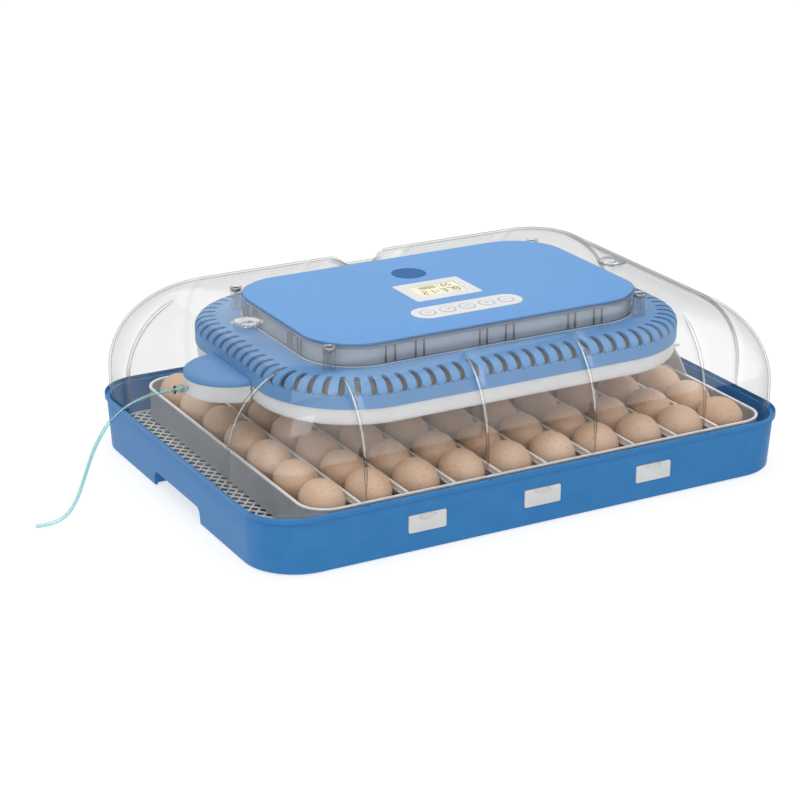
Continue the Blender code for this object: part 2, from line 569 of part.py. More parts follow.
def make_internals():
    board = add("circuit_board", *box(-75, 75, -45, 35, 160.0, 161.6), "board")
    chip = [box(-20, 10, -20, 10, 161.0, 164.0), box(30, 55, -10, 20, 161.0, 169.0)]
    fuse(board, "board_parts", chip)
    cx, cy = 0.0, -2.0
    add("fan_motor", *turned_solid([(18, 129.5), (19, 130.5), (19, 149.0), (18, 150.2)], cx, cy, 32), "black", 35)
    shaft = turned_solid([(2.0, 118.0), (2.0, 131.0)], cx, cy, 24)
    fuse(bpy.data.objects["fan_motor"], "fan_shaft", [shaft])
    hub = [(12, 116.5), (13, 117.5), (13, 128.0), (12, 129.0), (2.06, 129.0), (2.06, 116.5)]
    fan = add("fan_impeller", *turned(hub, cx, cy, 24), "black", 35)
    blades = []
    for k in range(7):
        t = 2 * pi * k / 7
        pts = []
        for r, w in ((11, -1.2), (44, 7), (44, 9.4), (11, 1.2)):
            a = t + w / r
            pts.append((cx + r * cos(a), cy + r * sin(a)))
        blades.append(prism(pts, 118.0, 127.0))
    fuse(fan, "fan_blade", blades)
    tube = [(57 + 4 * cos(t), 119.0 + 4 * sin(t)) for t in [pi * k / 3 - pi / 2 for k in range(6)]]
    add("heater_ring", *turned(tube, cx, cy, 28), "steel", 60)
    probe = [(3.0, 90.0), (3.3, 91.0), (3.3, 113.9), (6.0, 113.9), (6.0, 120.0)]
    add("sensor_probe", *turned_solid(probe, 60, 80, 16), "steel", 35)
    px, py = PINION
    motor = [(22, 121.0), (22, 142.0)]
    add("turner_motor", *turned_solid(motor, px, py, 32), "steel", 35)
    fuse(bpy.data.objects["turner_motor"], "motor_ears", [box(px - 33, px + 33, py - 7, py + 7, 121.0, 123.0)])
    cut(bpy.data.objects["turner_motor"], "motor_bore", [cylinder(px, py, 3.06, 110, 136, 24)])
    gear = gear_outline(TEETH, MODULE, px, py, pi / 2 + pi / TEETH)
    pinion = add("drive_pinion", *prism(gear, 72.0, 88.0), "white")
    fuse(pinion, "pinion_shaft", [cylinder(px, py, 3.0, 71.0, 134.0, 20)])


# ---- water hose ----------------------------------------------------------------------
HOSE_ROUTE = ((-286.6, -5, 120), (-298, -4.8, 120), (-312, -4.5, 119), (-328, -4, 115.5), (-342, -3, 109),
              (-354, -1.5, 99), (-363.5, 0, 86), (-371, 2, 71), (-377, 3.5, 55), (-382.5, 5, 39),
              (-388.5, 6, 24), (-396.5, 7, 11.5), (-406, 8, 4.8), (-417, 9, 2.4), (-430, 10, 2.3))


def smooth_route(route, step):
    """Points at even steps along a curve through the route points."""
    pts = [Vector(p) for p in route]
    pts = [2 * pts[0] - pts[1]] + pts + [2 * pts[-1] - pts[-2]]
    fine = []
    for i in range(1, len(pts) - 2):
        p0, p1, p2, p3 = pts[i - 1:i + 3]
        for k in range(20):
            t = k / 20
            fine.append(0.5 * (2 * p1 + (p2 - p0) * t + (2 * p0 - 5 * p1 + 4 * p2 - p3) * t * t
                               + (3 * p1 - p0 - 3 * p2 + p3) * t ** 3))
    fine.append(pts[-2])
    out, run = [fine[0]], 0.0
    for a, b in zip(fine, fine[1:]):
        run += (b - a).length
        if run >= step:
            out.append(b)
            run = 0.0
    out[-1] = fine[-1]
    return out


def make_hose():
    pts = smooth_route(HOSE_ROUTE, 9.0)
    curve = bpy.data.curves.new("water_hose", "CURVE")
    curve.dimensions = "3D"
    curve.bevel_depth = HOSE_D / 2 * MM
    curve.bevel_resolution = 2
    curve.use_fill_caps = True
    spline = curve.splines.new("POLY")
    spline.points.add(len(pts) - 1)
    for point, p in zip(spline.points, pts):
        point.co = (p.x * MM, p.y * MM, p.z * MM, 1.0)
    curve.materials.append(paint("water_hose", *SHADES["teal"]))
    hose = bpy.data.objects.new("water_hose", curve)
    COLL.objects.link(hose)


make_base()
for index, port_x in enumerate(PORTS_X):
    make_port(index + 1, port_x)
make_tray()
make_dome()
make_panel()
make_housing()
make_pod()
make_internals()
make_hose()
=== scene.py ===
import bpy
import json
import random
from math import pi, sin, cos, radians, sqrt, hypot
from mathutils import Vector, Matrix


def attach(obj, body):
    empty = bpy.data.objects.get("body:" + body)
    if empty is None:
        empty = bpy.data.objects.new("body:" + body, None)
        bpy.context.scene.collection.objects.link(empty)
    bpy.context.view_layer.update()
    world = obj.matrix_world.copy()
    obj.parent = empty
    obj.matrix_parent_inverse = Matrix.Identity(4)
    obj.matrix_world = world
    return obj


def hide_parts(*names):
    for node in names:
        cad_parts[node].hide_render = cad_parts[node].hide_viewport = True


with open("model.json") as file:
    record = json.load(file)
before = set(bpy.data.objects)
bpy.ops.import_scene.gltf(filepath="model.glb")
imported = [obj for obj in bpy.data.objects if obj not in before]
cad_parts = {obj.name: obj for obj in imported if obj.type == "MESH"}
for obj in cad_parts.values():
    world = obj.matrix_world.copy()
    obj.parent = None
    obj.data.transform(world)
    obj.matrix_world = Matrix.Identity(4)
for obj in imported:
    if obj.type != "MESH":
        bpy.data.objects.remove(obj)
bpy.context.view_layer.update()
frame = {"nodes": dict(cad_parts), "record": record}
MM = 0.001
COLL = bpy.context.scene.collection
rng = random.Random(7)


# ---- materials -----------------------------------------------------------------------
def new_mat(name):
    mat = bpy.data.materials.new(name)
    mat.use_nodes = True
    tree = mat.node_tree
    return mat, tree, tree.nodes["Principled BSDF"]


def node(tree, kind, **props):
    n = tree.nodes.new(kind)
    for key, value in props.items():
        if key in n.inputs:
            n.inputs[key].default_value = value
        else:
            setattr(n, key, value)
    return n


def two_tone(tree, low, dark, high, light):
    """Colour ramp from one tone to another between two places."""
    ramp = node(tree, "ShaderNodeValToRGB")
    for stop, place, rgb in zip(ramp.color_ramp.elements, (low, high), (dark, light)):
        stop.position, stop.color = place, (*rgb, 1)
    return ramp


def plastic(name, dark, light, rough=0.4, scale=60.0, grain=900.0, bump=0.05, spec=0.5, sss=0.0):
    """Moulded plastic: slow colour drift, a fine moulded grain and faint rubbed patches in the gloss."""
    mat, tree, bsdf = new_mat(name)
    link = tree.links.new
    co = node(tree, "ShaderNodeTexCoord")
    drift = node(tree, "ShaderNodeTexNoise", Scale=scale, Detail=3.0)
    fine = node(tree, "ShaderNodeTexNoise", Scale=grain, Detail=2.0)
    ramp = two_tone(tree, 0.35, dark, 0.65, light)
    spread = node(tree, "ShaderNodeMapRange")
    spread.inputs["To Min"].default_value = rough - 0.05
    spread.inputs["To Max"].default_value = rough + 0.05
    bumps = node(tree, "ShaderNodeBump", Strength=bump, Distance=0.0004)
    for tex in (drift, fine):
        link(co.outputs["Object"], tex.inputs["Vector"])
    link(drift.outputs["Fac"], ramp.inputs["Fac"])
    link(ramp.outputs["Color"], bsdf.inputs["Base Color"])
    link(drift.outputs["Fac"], spread.inputs["Value"])
    link(spread.outputs["Result"], bsdf.inputs["Roughness"])
    link(fine.outputs["Fac"], bumps.inputs["Height"])
    link(bumps.outputs["Normal"], bsdf.inputs["Normal"])
    bsdf.inputs["Specular IOR Level"].default_value = spec
    bsdf.inputs["Subsurface Weight"].default_value = sss
    bsdf.inputs["Subsurface Radius"].default_value = (0.01, 0.008, 0.006)
    bsdf.inputs["Subsurface Scale"].default_value = 0.4
    return mat


def clear_plastic(name, face, edge, shine=0.06, rough=0.02, power=4.0,
                  stops=((0.80, 0.08), (0.92, 0.45))):
    """Thin clear plastic that darkens and shines towards its edges; light rays pass it unshaded."""
    mat, tree, bsdf = new_mat(name)
    link = tree.links.new
    weight = node(tree, "ShaderNodeLayerWeight", Blend=0.5)
    ramp = two_tone(tree, 0.0, face, 1.0, edge)
    for place, share in stops:
        mid = ramp.color_ramp.elements.new(place)
        mid.color = tuple(f * (1 - share) + e * share for f, e in zip(face, edge)) + (1,)
    clear = node(tree, "ShaderNodeBsdfTransparent")
    steep = node(tree, "ShaderNodeMath", operation="POWER")
    steep.inputs[1].default_value = power
    shift = node(tree, "ShaderNodeMapRange")
    shift.inputs["To Min"].default_value = shine
    shift.inputs["To Max"].default_value = 0.45
    light_ray = node(tree, "ShaderNodeLightPath")
    bare = node(tree, "ShaderNodeBsdfTransparent")
    bare.inputs["Color"].default_value = (*face, 1)
    pick = node(tree, "ShaderNodeMixShader")
    co = node(tree, "ShaderNodeTexCoord")
    haze = node(tree, "ShaderNodeTexNoise", Scale=25.0, Detail=2.0)
    spread = node(tree, "ShaderNodeMapRange")
    spread.inputs["To Min"].default_value = rough
    spread.inputs["To Max"].default_value = rough + 0.05
    mix = node(tree, "ShaderNodeMixShader")
    out = tree.nodes["Material Output"]
    link(weight.outputs["Facing"], ramp.inputs["Fac"])
    link(ramp.outputs["Color"], clear.inputs["Color"])
    link(weight.outputs["Facing"], steep.inputs[0])
    link(steep.outputs["Value"], shift.inputs["Value"])
    link(shift.outputs["Result"], mix.inputs["Fac"])
    link(co.outputs["Object"], haze.inputs["Vector"])
    link(haze.outputs["Fac"], spread.inputs["Value"])
    link(spread.outputs["Result"], bsdf.inputs["Roughness"])
    bsdf.inputs["Base Color"].default_value = (0.9, 0.92, 0.93, 1)
    bsdf.inputs["Metallic"].default_value = 1.0
    link(clear.outputs["BSDF"], mix.inputs[1])
    link(bsdf.outputs["BSDF"], mix.inputs[2])
    link(light_ray.outputs["Is Shadow Ray"], pick.inputs["Fac"])
    link(mix.outputs["Shader"], pick.inputs[1])
    link(bare.outputs["BSDF"], pick.inputs[2])
    link(pick.outputs["Shader"], out.inputs["Surface"])
    return mat


def milky(name, dark, light, through):
    """Moulded plastic that lets a little of what lies behind show through."""
    mat = plastic(name, dark, light, 0.42)
    tree = mat.node_tree
    clear = node(tree, "ShaderNodeBsdfTransparent")
    mix = node(tree, "ShaderNodeMixShader")
    mix.inputs[0].default_value = through
    tree.links.new(tree.nodes["Principled BSDF"].outputs["BSDF"], mix.inputs[1])
    tree.links.new(clear.outputs["BSDF"], mix.inputs[2])
    tree.links.new(mix.outputs["Shader"], tree.nodes["Material Output"].inputs["Surface"])
    return mat


def egg_shell():
    """Tan eggshell with speckles, fine pores and a soft glow."""
    mat, tree, bsdf = new_mat("egg_shell")
    link = tree.links.new
    co = node(tree, "ShaderNodeTexCoord")
    tone = node(tree, "ShaderNodeTexNoise", Scale=14.0, Detail=1.0)
    speck = node(tree, "ShaderNodeTexNoise", Scale=420.0, Detail=3.0)
    pores = node(tree, "ShaderNodeTexVoronoi", Scale=1500.0)
    ramp = two_tone(tree, 0.32, (0.68, 0.46, 0.315), 0.68, (0.81, 0.59, 0.43))
    dots = two_tone(tree, 0.30, (0.55, 0.34, 0.22), 0.42, (1, 1, 1))
    mix = node(tree, "ShaderNodeMix", data_type="RGBA", blend_type="MULTIPLY")
    mix.inputs[0].default_value = 0.5
    bumps = node(tree, "ShaderNodeBump", Strength=0.15, Distance=0.0002)
    for tex in (tone, speck, pores):
        link(co.outputs["Object"], tex.inputs["Vector"])
    link(tone.outputs["Fac"], ramp.inputs["Fac"])
    link(speck.outputs["Fac"], dots.inputs["Fac"])
    link(ramp.outputs["Color"], mix.inputs[6])
    link(dots.outputs["Color"], mix.inputs[7])
    link(mix.outputs[2], bsdf.inputs["Base Color"])
    link(pores.outputs["Distance"], bumps.inputs["Height"])
    link(bumps.outputs["Normal"], bsdf.inputs["Normal"])
    bsdf.inputs["Roughness"].default_value = 0.5
    bsdf.inputs["Subsurface Weight"].default_value = 0.15
    bsdf.inputs["Subsurface Radius"].default_value = (0.01, 0.005, 0.003)
    bsdf.inputs["Subsurface Scale"].default_value = 0.5
    return mat


def metal(name, rgb, rough):
    mat = plastic(name, rgb, tuple(c * 1.15 for c in rgb), rough, 80.0, 1200.0, 0.03)
    mat.node_tree.nodes["Principled BSDF"].inputs["Metallic"].default_value = 1.0
    return mat


MATS = {
    "base_blue": plastic("base_blue", (0.026, 0.180, 0.440), (0.032, 0.192, 0.460), 0.40, spec=0.3),
    "panel_blue": plastic("panel_blue", (0.098, 0.280, 0.590), (0.106, 0.292, 0.604), 0.50, spec=0.25),
    "head_blue": plastic("head_blue", (0.095, 0.280, 0.575), (0.104, 0.292, 0.590), 0.45, spec=0.35),
    # lamp lens: a real blue lens, darkened with painted shade of the recess it sits in
    "lamp_blue": plastic("lamp_blue", (0.018, 0.105, 0.280), (0.022, 0.115, 0.300), 0.55, spec=0.1),
    "white_plastic": plastic("white_plastic", (0.76, 0.76, 0.76), (0.80, 0.80, 0.80), 0.42, sss=0.05),
    "bezel_white": plastic("bezel_white", (0.64, 0.64, 0.64), (0.68, 0.68, 0.68), 0.45, spec=0.3),
    # darker copy of white_plastic for the front-facing port flaps: painted shade
    "port_white": plastic("port_white", (0.62, 0.62, 0.62), (0.66, 0.66, 0.66), 0.42, spec=0.4),
    "lcd_cream": plastic("lcd_cream", (0.78, 0.74, 0.50), (0.81, 0.77, 0.53), 0.30, spec=0.3),
    "tray_grey": plastic("tray_grey", (0.46, 0.46, 0.45), (0.52, 0.52, 0.51), 0.42, sss=0.1),
    "tray_wall": milky("tray_wall", (0.58, 0.58, 0.575), (0.64, 0.64, 0.63), 0.28),
    "tray_white": plastic("tray_white", (0.84, 0.84, 0.84), (0.88, 0.88, 0.88), 0.40),
    "mat_white": plastic("mat_white", (0.80, 0.80, 0.80), (0.86, 0.86, 0.86), 0.50),
    "black_plastic": plastic("black_plastic", (0.015, 0.015, 0.016), (0.02, 0.02, 0.02), 0.42),
    "rubber_black": plastic("rubber_black", (0.02, 0.02, 0.02), (0.03, 0.03, 0.03), 0.75, bump=0.15),
    "board_green": plastic("board_green", (0.015, 0.12, 0.05), (0.02, 0.16, 0.07), 0.35),
    "steel": metal("steel", (0.56, 0.56, 0.58), 0.28),
    "clear_plastic": clear_plastic("clear_plastic", (0.982, 0.983, 0.984), (0.06, 0.062, 0.064), 0.025,
                                   power=6.0),
    "cap_clear": clear_plastic("cap_clear", (0.97, 0.97, 0.97), (0.08, 0.08, 0.08), 0.16, power=2.5,
                               stops=((0.60, 0.08), (0.80, 0.5))),
    "bead_clear": clear_plastic("bead_clear", (0.96, 0.96, 0.96), (0.10, 0.10, 0.10), 0.10, power=2.0,
                                stops=((0.30, 0.10), (0.55, 0.55))),
    "hose_teal": clear_plastic("hose_teal", (0.76, 0.90, 0.91), (0.40, 0.60, 0.64), 0.08, 0.08),
    "duct_taupe": plastic("duct_taupe", (0.155, 0.135, 0.115), (0.175, 0.155, 0.135), 0.6),
    # near-black colour of the sheet under the mesh: painted shade in the gaps
    "backing_dark": plastic("backing_dark", (0.045, 0.042, 0.040), (0.065, 0.060, 0.056), 0.6),
    # light milky blue-grey of the sleeve inside the skirt: painted light
    "skirt_haze": milky("skirt_haze", (0.64, 0.74, 0.86), (0.70, 0.80, 0.92), 0.28),
    "ink_blue": plastic("ink_blue", (0.22, 0.38, 0.62), (0.24, 0.40, 0.64), 0.5),
    # dark grey of the thin ring under the panel's edge: painted shade of the gap
    "seam_grey": plastic("seam_grey", (0.10, 0.11, 0.13), (0.13, 0.14, 0.16), 0.4),
    "ink_dark": plastic("ink_dark", (0.045, 0.04, 0.03), (0.06, 0.05, 0.04), 0.5),
    "egg_shell": egg_shell(),
}
for part in frame["record"]["subparts"]:
    obj = frame["nodes"][part["node"]]
    for i in range(max(1, len(obj.data.materials))):
        if len(obj.data.materials) <= i:
            obj.data.materials.append(None)
        obj.data.materials[i] = MATS[part["material_slot"]]


# ---- mesh helpers --------------------------------------------------------------------
def new_mesh(name, verts, faces):
    mesh = bpy.data.meshes.new(name)
    mesh.from_pydata([(x * MM, y * MM, z * MM) for x, y, z in verts], [], faces)
    return mesh


def piece(name, verts, faces, mat, body, replaced=(), slot=None, angle=35):
    """Visible piece, given in millimetres, that rides on a body and may stand for CAD nodes."""
    mesh = new_mesh(name, verts, faces)
    mesh.materials.append(MATS[mat])
    obj = bpy.data.objects.new(name, mesh)
    COLL.objects.link(obj)
    smooth(mesh, angle)
    if body:
        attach(obj, body)
    if replaced:
        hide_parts(*replaced)
    return obj


def smooth(mesh, angle):
    mesh.polygons.foreach_set("use_smooth", [angle > 0] * len(mesh.polygons))
    if angle > 0:
        mesh.set_sharp_from_angle(angle=radians(angle))


def carve(obj, solids, angle=35, op="DIFFERENCE"):
    """Cut solids out of a piece, or join them to it, and keep the new mesh."""
    tool = bpy.data.objects.new("cutter", new_mesh("cutter", *merge(solids)))
    COLL.objects.link(tool)
    mod = obj.modifiers.new("cut", "BOOLEAN")
    mod.operation, mod.solver, mod.object = op, "EXACT", tool
    bpy.context.view_layer.update()
    deps = bpy.context.evaluated_depsgraph_get()
    cut_mesh = bpy.data.meshes.new_from_object(obj.evaluated_get(deps))
    obj.modifiers.clear()
    obj.data = cut_mesh
    bpy.data.objects.remove(tool, do_unlink=True)
    smooth(cut_mesh, angle)


def merge(solids):
    """Several solids as one list of points and faces."""
    verts, faces = [], []
    for vs, fs in solids:
        off = len(verts)
        verts += vs
        faces += [tuple(i + off for i in f) for f in fs]
    return verts, faces


def stack(loops, ring=False):
    """Skin over loops of equal length; the ends are capped, or joined where it is a ring."""
    n, m = len(loops[0]), len(loops)
    verts = [p for loop in loops for p in loop]
    faces = []
    for j in range(m if ring else m - 1):
        a, b = j * n, ((j + 1) % m) * n
        faces += [(a + i, a + (i + 1) % n, b + (i + 1) % n, b + i) for i in range(n)]
    if not ring:
        faces.append(tuple(reversed(range(n))))
        faces.append(tuple((m - 1) * n + i for i in range(n)))
    return verts, faces


def flat(outline, z):
    return [(x, y, z) for x, y in outline]


def prism(outline, z0, z1):
    return stack([flat(outline, z0), flat(outline, z1)])


def box(x0, x1, y0, y1, z0, z1):
    return prism([(x0, y0), (x1, y0), (x1, y1), (x0, y1)], z0, z1)


def circle(cx, cy, r, n=48):
    return [(cx + r * cos(2 * pi * i / n), cy + r * sin(2 * pi * i / n)) for i in range(n)]


def ellipse(cx, cy, a, b, n=40):
    return [(cx + a * cos(2 * pi * i / n), cy + b * sin(2 * pi * i / n)) for i in range(n)]


def along_x(outline_yz, x0, x1):
    vs, fs = prism(outline_yz, x0, x1)
    return [(z, x, y) for x, y, z in vs], fs


def turned(profile, cx, cy, n=48, ring=False):
    """Turned solid from (radius, height) steps."""
    return stack([flat(circle(cx, cy, r, n), z) for r, z in profile], ring)


def round_rect(a, b, r, cx=0.0, cy=0.0, n=24):
    hx, hy = a - r, b - r
    pts = []
    for sx, sy, start in ((1, -1, 270), (1, 1, 0), (-1, 1, 90), (-1, -1, 180)):
        for i in range(n + 1):
            t = radians(start + 90.0 * i / n)
            pts.append((cx + sx * hx + r * cos(t), cy + sy * hy + r * sin(t)))
    return pts


# ---- base ----------------------------------------------------------------------------
GROOVES_X, GROOVES_Y = (-190.0, -62.0, 57.0, 184.0), (-120.0, 120.0)
# half length, half width and corner radius of the tub at its foot, and of its lip
TUB_A, TUB_B, TUB_R = 289.9, 209.5, 53.0
LIP_A, LIP_B, LIP_R = 293.0, 212.0, 48.0
TUB_WALL = 3.2
TUB_LOW, TUB_HIGH = 1.0, 52.0
UNDER_Z, FLOOR_TOP, LEDGE_Z = 15.5, 18.7, 54.0
LIP_PROFILE = ((0.7, 52.0), (0.1, 52.4), (0, 53.0), (0, 57.2), (0.3, 57.8), (0.7, 58.0), (1.1, 57.8),
               (1.1, 54.0))
GRIP_R, GRIP_Z = 7.5, 9.7
NICK_LOW, NICK_HIGH = 56.6, 60
PAD_X, PAD_Y, PAD_R = 250, 165, 14
# port flaps: places along the front, half length, half height, corner radius and mid height
PORTS_X = (-127.5, -2.5, 124.0)
PORT_A, PORT_B, PORT_R, PORT_Z = 20.0, 8.9, 1.6, 28.6
PORT_GAP = 0.3
PORT_FACE = -210.3
DIP_Z = 34.6


def wall(z, inset=0.0):
    """The tub's outline at a height: it widens a little towards the top."""
    t = (z - TUB_LOW) / (TUB_HIGH - TUB_LOW)
    return flat(round_rect(TUB_A + 1.6 * t - inset, TUB_B + 0.1 * t - inset, TUB_R - 5.5 * t - inset), z)


def lip(inset, z):
    return flat(round_rect(LIP_A - inset, LIP_B - inset, LIP_R - inset), z)


def grip_outline():
    """Finger grip: open below, with a rounded upper corner at each end."""
    bend = [radians(a) for a in (15, 30, 45, 60, 75, 90)]
    back = [(45 + GRIP_R * cos(a), GRIP_Z + GRIP_R * sin(a)) for a in bend]
    front = [(-50 - GRIP_R * cos(a), GRIP_Z + GRIP_R * sin(a)) for a in reversed(bend)]
    return [(-58, -5), (53, -5), (52.8, 6)] + back + front + [(-57.8, 6)]


def make_base():
    """Tub with its lip, finger grips, port openings, groove nicks and floor troughs."""
    under = [wall(UNDER_Z, TUB_WALL)]
    outside = [wall(TUB_LOW, TUB_WALL), wall(TUB_LOW, 0.8), wall(1.8), wall(30), wall(50.8)]
    outside += [wall(TUB_HIGH, 0.4)] + [lip(inset, z) for inset, z in LIP_PROFILE]
    inside = [[(x, y, LEDGE_Z) for x, y, z in wall(TUB_HIGH, TUB_WALL)], wall(FLOOR_TOP, TUB_WALL)]
    tub = piece("tub_skin", *stack(under + outside + inside), "base_blue", "base", ["base_tub"], "base_blue")
    carve(tub, [box(x0, x1, -61, 56, 3.0, 17.5) for x0, x1 in ((-288.5, -275), (275, 288.5))], op="UNION")
    grip = grip_outline()
    half = PORT_A + PORT_GAP
    troughs = [box(x - 32, x + 32, -140, 140, 12.5, 30) for x in (-160, -80, 0, 80, 160)]
    cuts = [along_x(grip, -300, -277), along_x(grip, 277, 300)]
    cuts += [box(x - half, x + half, -230, -199, 19.1, 37.9) for x in PORTS_X]
    cuts += [box(x - 2, x + 2, y - 1.0, y + 1.0, NICK_LOW, NICK_HIGH)
             for x in GROOVES_X for y in (-212.2, 212.2)]
    cuts += [box(x - 1.0, x + 1.0, y - 2, y + 2, NICK_LOW, NICK_HIGH)
             for y in GROOVES_Y for x in (-293.2, 293.2)]
    cuts += troughs
    block = piece("trough_block", *box(-205, 205, -150, 150, 10.0, 15.6), "base_blue", "base", (), "base_blue")
    carve(tub, cuts)
    carve(block, troughs)
    pads = [turned([(PAD_R, 3.0), (PAD_R, 15.6)], sx * PAD_X, sy * PAD_Y, 32)
            for sx in (-1, 1) for sy in (-1, 1)]
    piece("pad_boss", *merge(pads), "base_blue", "base", (), "base_blue")


def make_ports():
    """Port flaps with softened edges and a lens-shaped finger dip at the top."""
    for i, x in enumerate(PORTS_X):
        rows = []
        for d, y in ((0.0, -207.6), (0.0, -209.9), (0.25, PORT_FACE), (0.8, -210.5)):
            outline = round_rect(PORT_A - d, PORT_B - d * 0.6, PORT_R - d, x, PORT_Z, 8)
            rows.append([(a, y, b) for a, b in outline])
        number = str(i + 1)
        # the flaps take the darker copy of white plastic, painted shade for their front-facing side
        door = piece("door_skin_" + number, *stack(rows), "port_white", "port_" + number,
                     ["port_door_" + number], "white_plastic", 40)
        lens, inner = ellipse(x, DIP_Z, 9.5, 3.2), ellipse(x, DIP_Z, 8.3, 2.2)
        dip = [[(a, y, b) for a, b in outline]
               for outline, y in ((inner, -208.9), (lens, PORT_FACE), (lens, -212.0))]
        carve(door, [stack(dip)], 40)


# expanded mesh: diamond size, half strand width, and the plate's heights and outline
MESH_X, MESH_Y, STRAND = 11.5, 6.4, 0.85
MAT_LOW, MAT_HIGH = 19.1, 20.6
MAT_A, MAT_B, MAT_R = 284, 203, 45
STRAND_TILT, STRAND_T = 0.35, 0.75


def in_mat(x, y):
    """Whether a crossing of strands lies inside the plate's rounded outline."""
    dx, dy = max(0, abs(x) - (MAT_A - MAT_R)), max(0, abs(y) - (MAT_B - MAT_R))
    return hypot(dx, dy) < 43.8 and abs(x) < 282.5 and abs(y) < 201.5


def make_mat():
    """Expanded mesh: crossing zigzag strands in a rounded plate outline, over a dark sheet of painted shade
    that darkens the gaps between the strands.
    """
    inner, outer = round_rect(281.8, 200.8, 43.5, n=16), round_rect(MAT_A, MAT_B, MAT_R, n=16)
    rim = [flat(inner, MAT_LOW), flat(outer, MAT_LOW), flat(outer, MAT_HIGH), flat(inner, MAT_HIGH)]
    solids = [stack(rim, ring=True)]
    nx, ny = int(2 * MAT_A / MESH_X), int(2 * MAT_B / MESH_Y)
    for i in range(-nx // 2 - 1, nx // 2 + 2):
        for j in range(-ny // 2 - 1, ny // 2 + 2):
            x, y = i * MESH_X + (MESH_X / 2 if j % 2 else 0), j * MESH_Y
            for s in (-1, 1):
                x1, y1 = x + s * MESH_X / 2, y + MESH_Y
                if not (in_mat(x, y) and in_mat(x1, y1)):
                    continue
                ln = hypot(x1 - x, y1 - y)
                ox, oy = -(y1 - y) / ln * STRAND, (x1 - x) / ln * STRAND
                tilt = STRAND_TILT * s
                q = [(x + ox, y + oy), (x - ox, y - oy), (x1 - ox, y1 - oy), (x1 + ox, y1 + oy)]
                low = [(a, b, MAT_LOW + STRAND_TILT + tilt * (0.5 if k in (0, 3) else -0.5))
                       for k, (a, b) in enumerate(q)]
                solids.append(stack([low, [(a, b, c + STRAND_T) for a, b, c in low]]))
    # dark sheet under the mesh: painted shade seen through the gaps between the strands
    sheet = prism(round_rect(283, 202, 44, n=16), 18.75, 18.95)
    piece("mat_shade_sheet", *sheet, "backing_dark", "base", (), None, 0)
    piece("expanded_mesh", *merge(solids), "mat_white", "base", ["mesh_mat"], "mat_white", 0)


# ---- eggs and tray -------------------------------------------------------------------
LANES = [-214.3 + 49.92 * i for i in range(10)]
EGG_R, EGG_HALF, EGG_BLUNT = 21.2, 26.9, 0.08
EGG_FLOOR, EGG_LIFT = 28.8, 21.25
EGGS_PER_LANE, EGG_FIRST_Y, EGG_PITCH = 7, -164.7, 54.0
# tray wall: half length, half width, corner radius and middle, and the dividers' places
TRAY_A, TRAY_B, TRAY_R, TRAY_X = 256.0, 199.0, 29.0, 14.0
DIVIDERS_X = [-191.3 + 50 * i for i in range(9)]


def egg(cx, cy, turn, tip, size):
    """Egg lying along Y, blunter at one end."""
    vs, fs = [], []
    rings, seg = 22, 32
    for j in range(1, rings):
        t = pi * j / rings
        r = EGG_R * sin(t) * (1 + EGG_BLUNT * cos(t)) * size
        y = -EGG_HALF * cos(t) * size
        vs += [(r * cos(2 * pi * k / seg), y, r * sin(2 * pi * k / seg)) for k in range(seg)]
    for j in range(rings - 2):
        a, b = j * seg, (j + 1) * seg
        fs += [(a + (k + 1) % seg, a + k, b + k, b + (k + 1) % seg) for k in range(seg)]
    vs += [(0, -EGG_HALF * size, 0), (0, EGG_HALF * size, 0)]
    south, north = len(vs) - 2, len(vs) - 1
    last = (rings - 2) * seg
    fs += [(south, k, (k + 1) % seg) for k in range(seg)]
    fs += [(north, last + (k + 1) % seg, last + k) for k in range(seg)]
    spin = Matrix.Rotation(turn, 3, "Z") @ Matrix.Rotation(tip, 3, "X")
    place = Vector((cx, cy, EGG_FLOOR + EGG_LIFT * size))
    return [tuple(spin @ Vector(v) + place) for v in vs], fs


def make_eggs():
    """Ten lanes of seven eggs, each a little different in size and lie."""
    for n, x in enumerate(LANES):
        solids = []
        for k in range(EGGS_PER_LANE):
            flip = pi if rng.random() < 0.3 else 0.0
            size = rng.uniform(0.985, 1.0)
            solids.append(egg(x + rng.uniform(-0.8, 0.0), EGG_FIRST_Y + EGG_PITCH * k,
                              flip + rng.uniform(-0.03, 0.03), rng.uniform(-0.015, 0.015), size))
        piece("eggs_lane_" + str(n + 1), *merge(solids), "egg_shell", "tray", (), None, 60)


def tray_ring(grow, z):
    return flat(round_rect(TRAY_A + grow, TRAY_B + grow, TRAY_R + grow, TRAY_X, 0.0, 16), z)


def make_tray():
    """Tray wall, its bright rim, the tab and the white edge on every divider."""
    rows = [(0, 22.8), (0, 53.4), (-2.0, 53.4), (-2.0, 22.3), (-0.4, 22.3)]
    tray = piece("tray_skin", *stack([tray_ring(g, z) for g, z in rows][::-1], ring=True), "tray_wall", "tray",
                 ["tray_frame"], "tray_grey", 35)
    tab = [(-58, 50), (58, 50), (58, 56), (46, 70), (37, 76), (31, 84), (-31, 84), (-37, 76), (-46, 70),
           (-58, 56)]
    carve(tray, [along_x(tab, 268, 270)], op="UNION")
    rim = [(0.3, 53.5), (0.7, 53.9), (0.7, 55.2), (0.3, 55.6), (-2.0, 55.6), (-2.3, 55.3), (-2.3, 53.8),
           (-2.0, 53.5)]
    rim = stack([tray_ring(g, z) for g, z in rim], ring=True)
    piece("tray_rim", *rim, "tray_white", "tray", (), "tray_grey", 35)
    tops = [box(x - 1.4, x + 1.4, -196.7, 196.7, 54.7, 55.75) for x in DIVIDERS_X]
    piece("divider_tops", *merge(tops), "tray_white", "tray", (), "white_plastic", 0)
    clip = [box(268.0, 271.5, -41, -35, 81.5, 84.0), box(266.5, 268.2, -40, -36, 82.0, 83.6)]
    piece("tab_clip", *merge(clip), "tray_white", "tray", (), "white_plastic", 0)


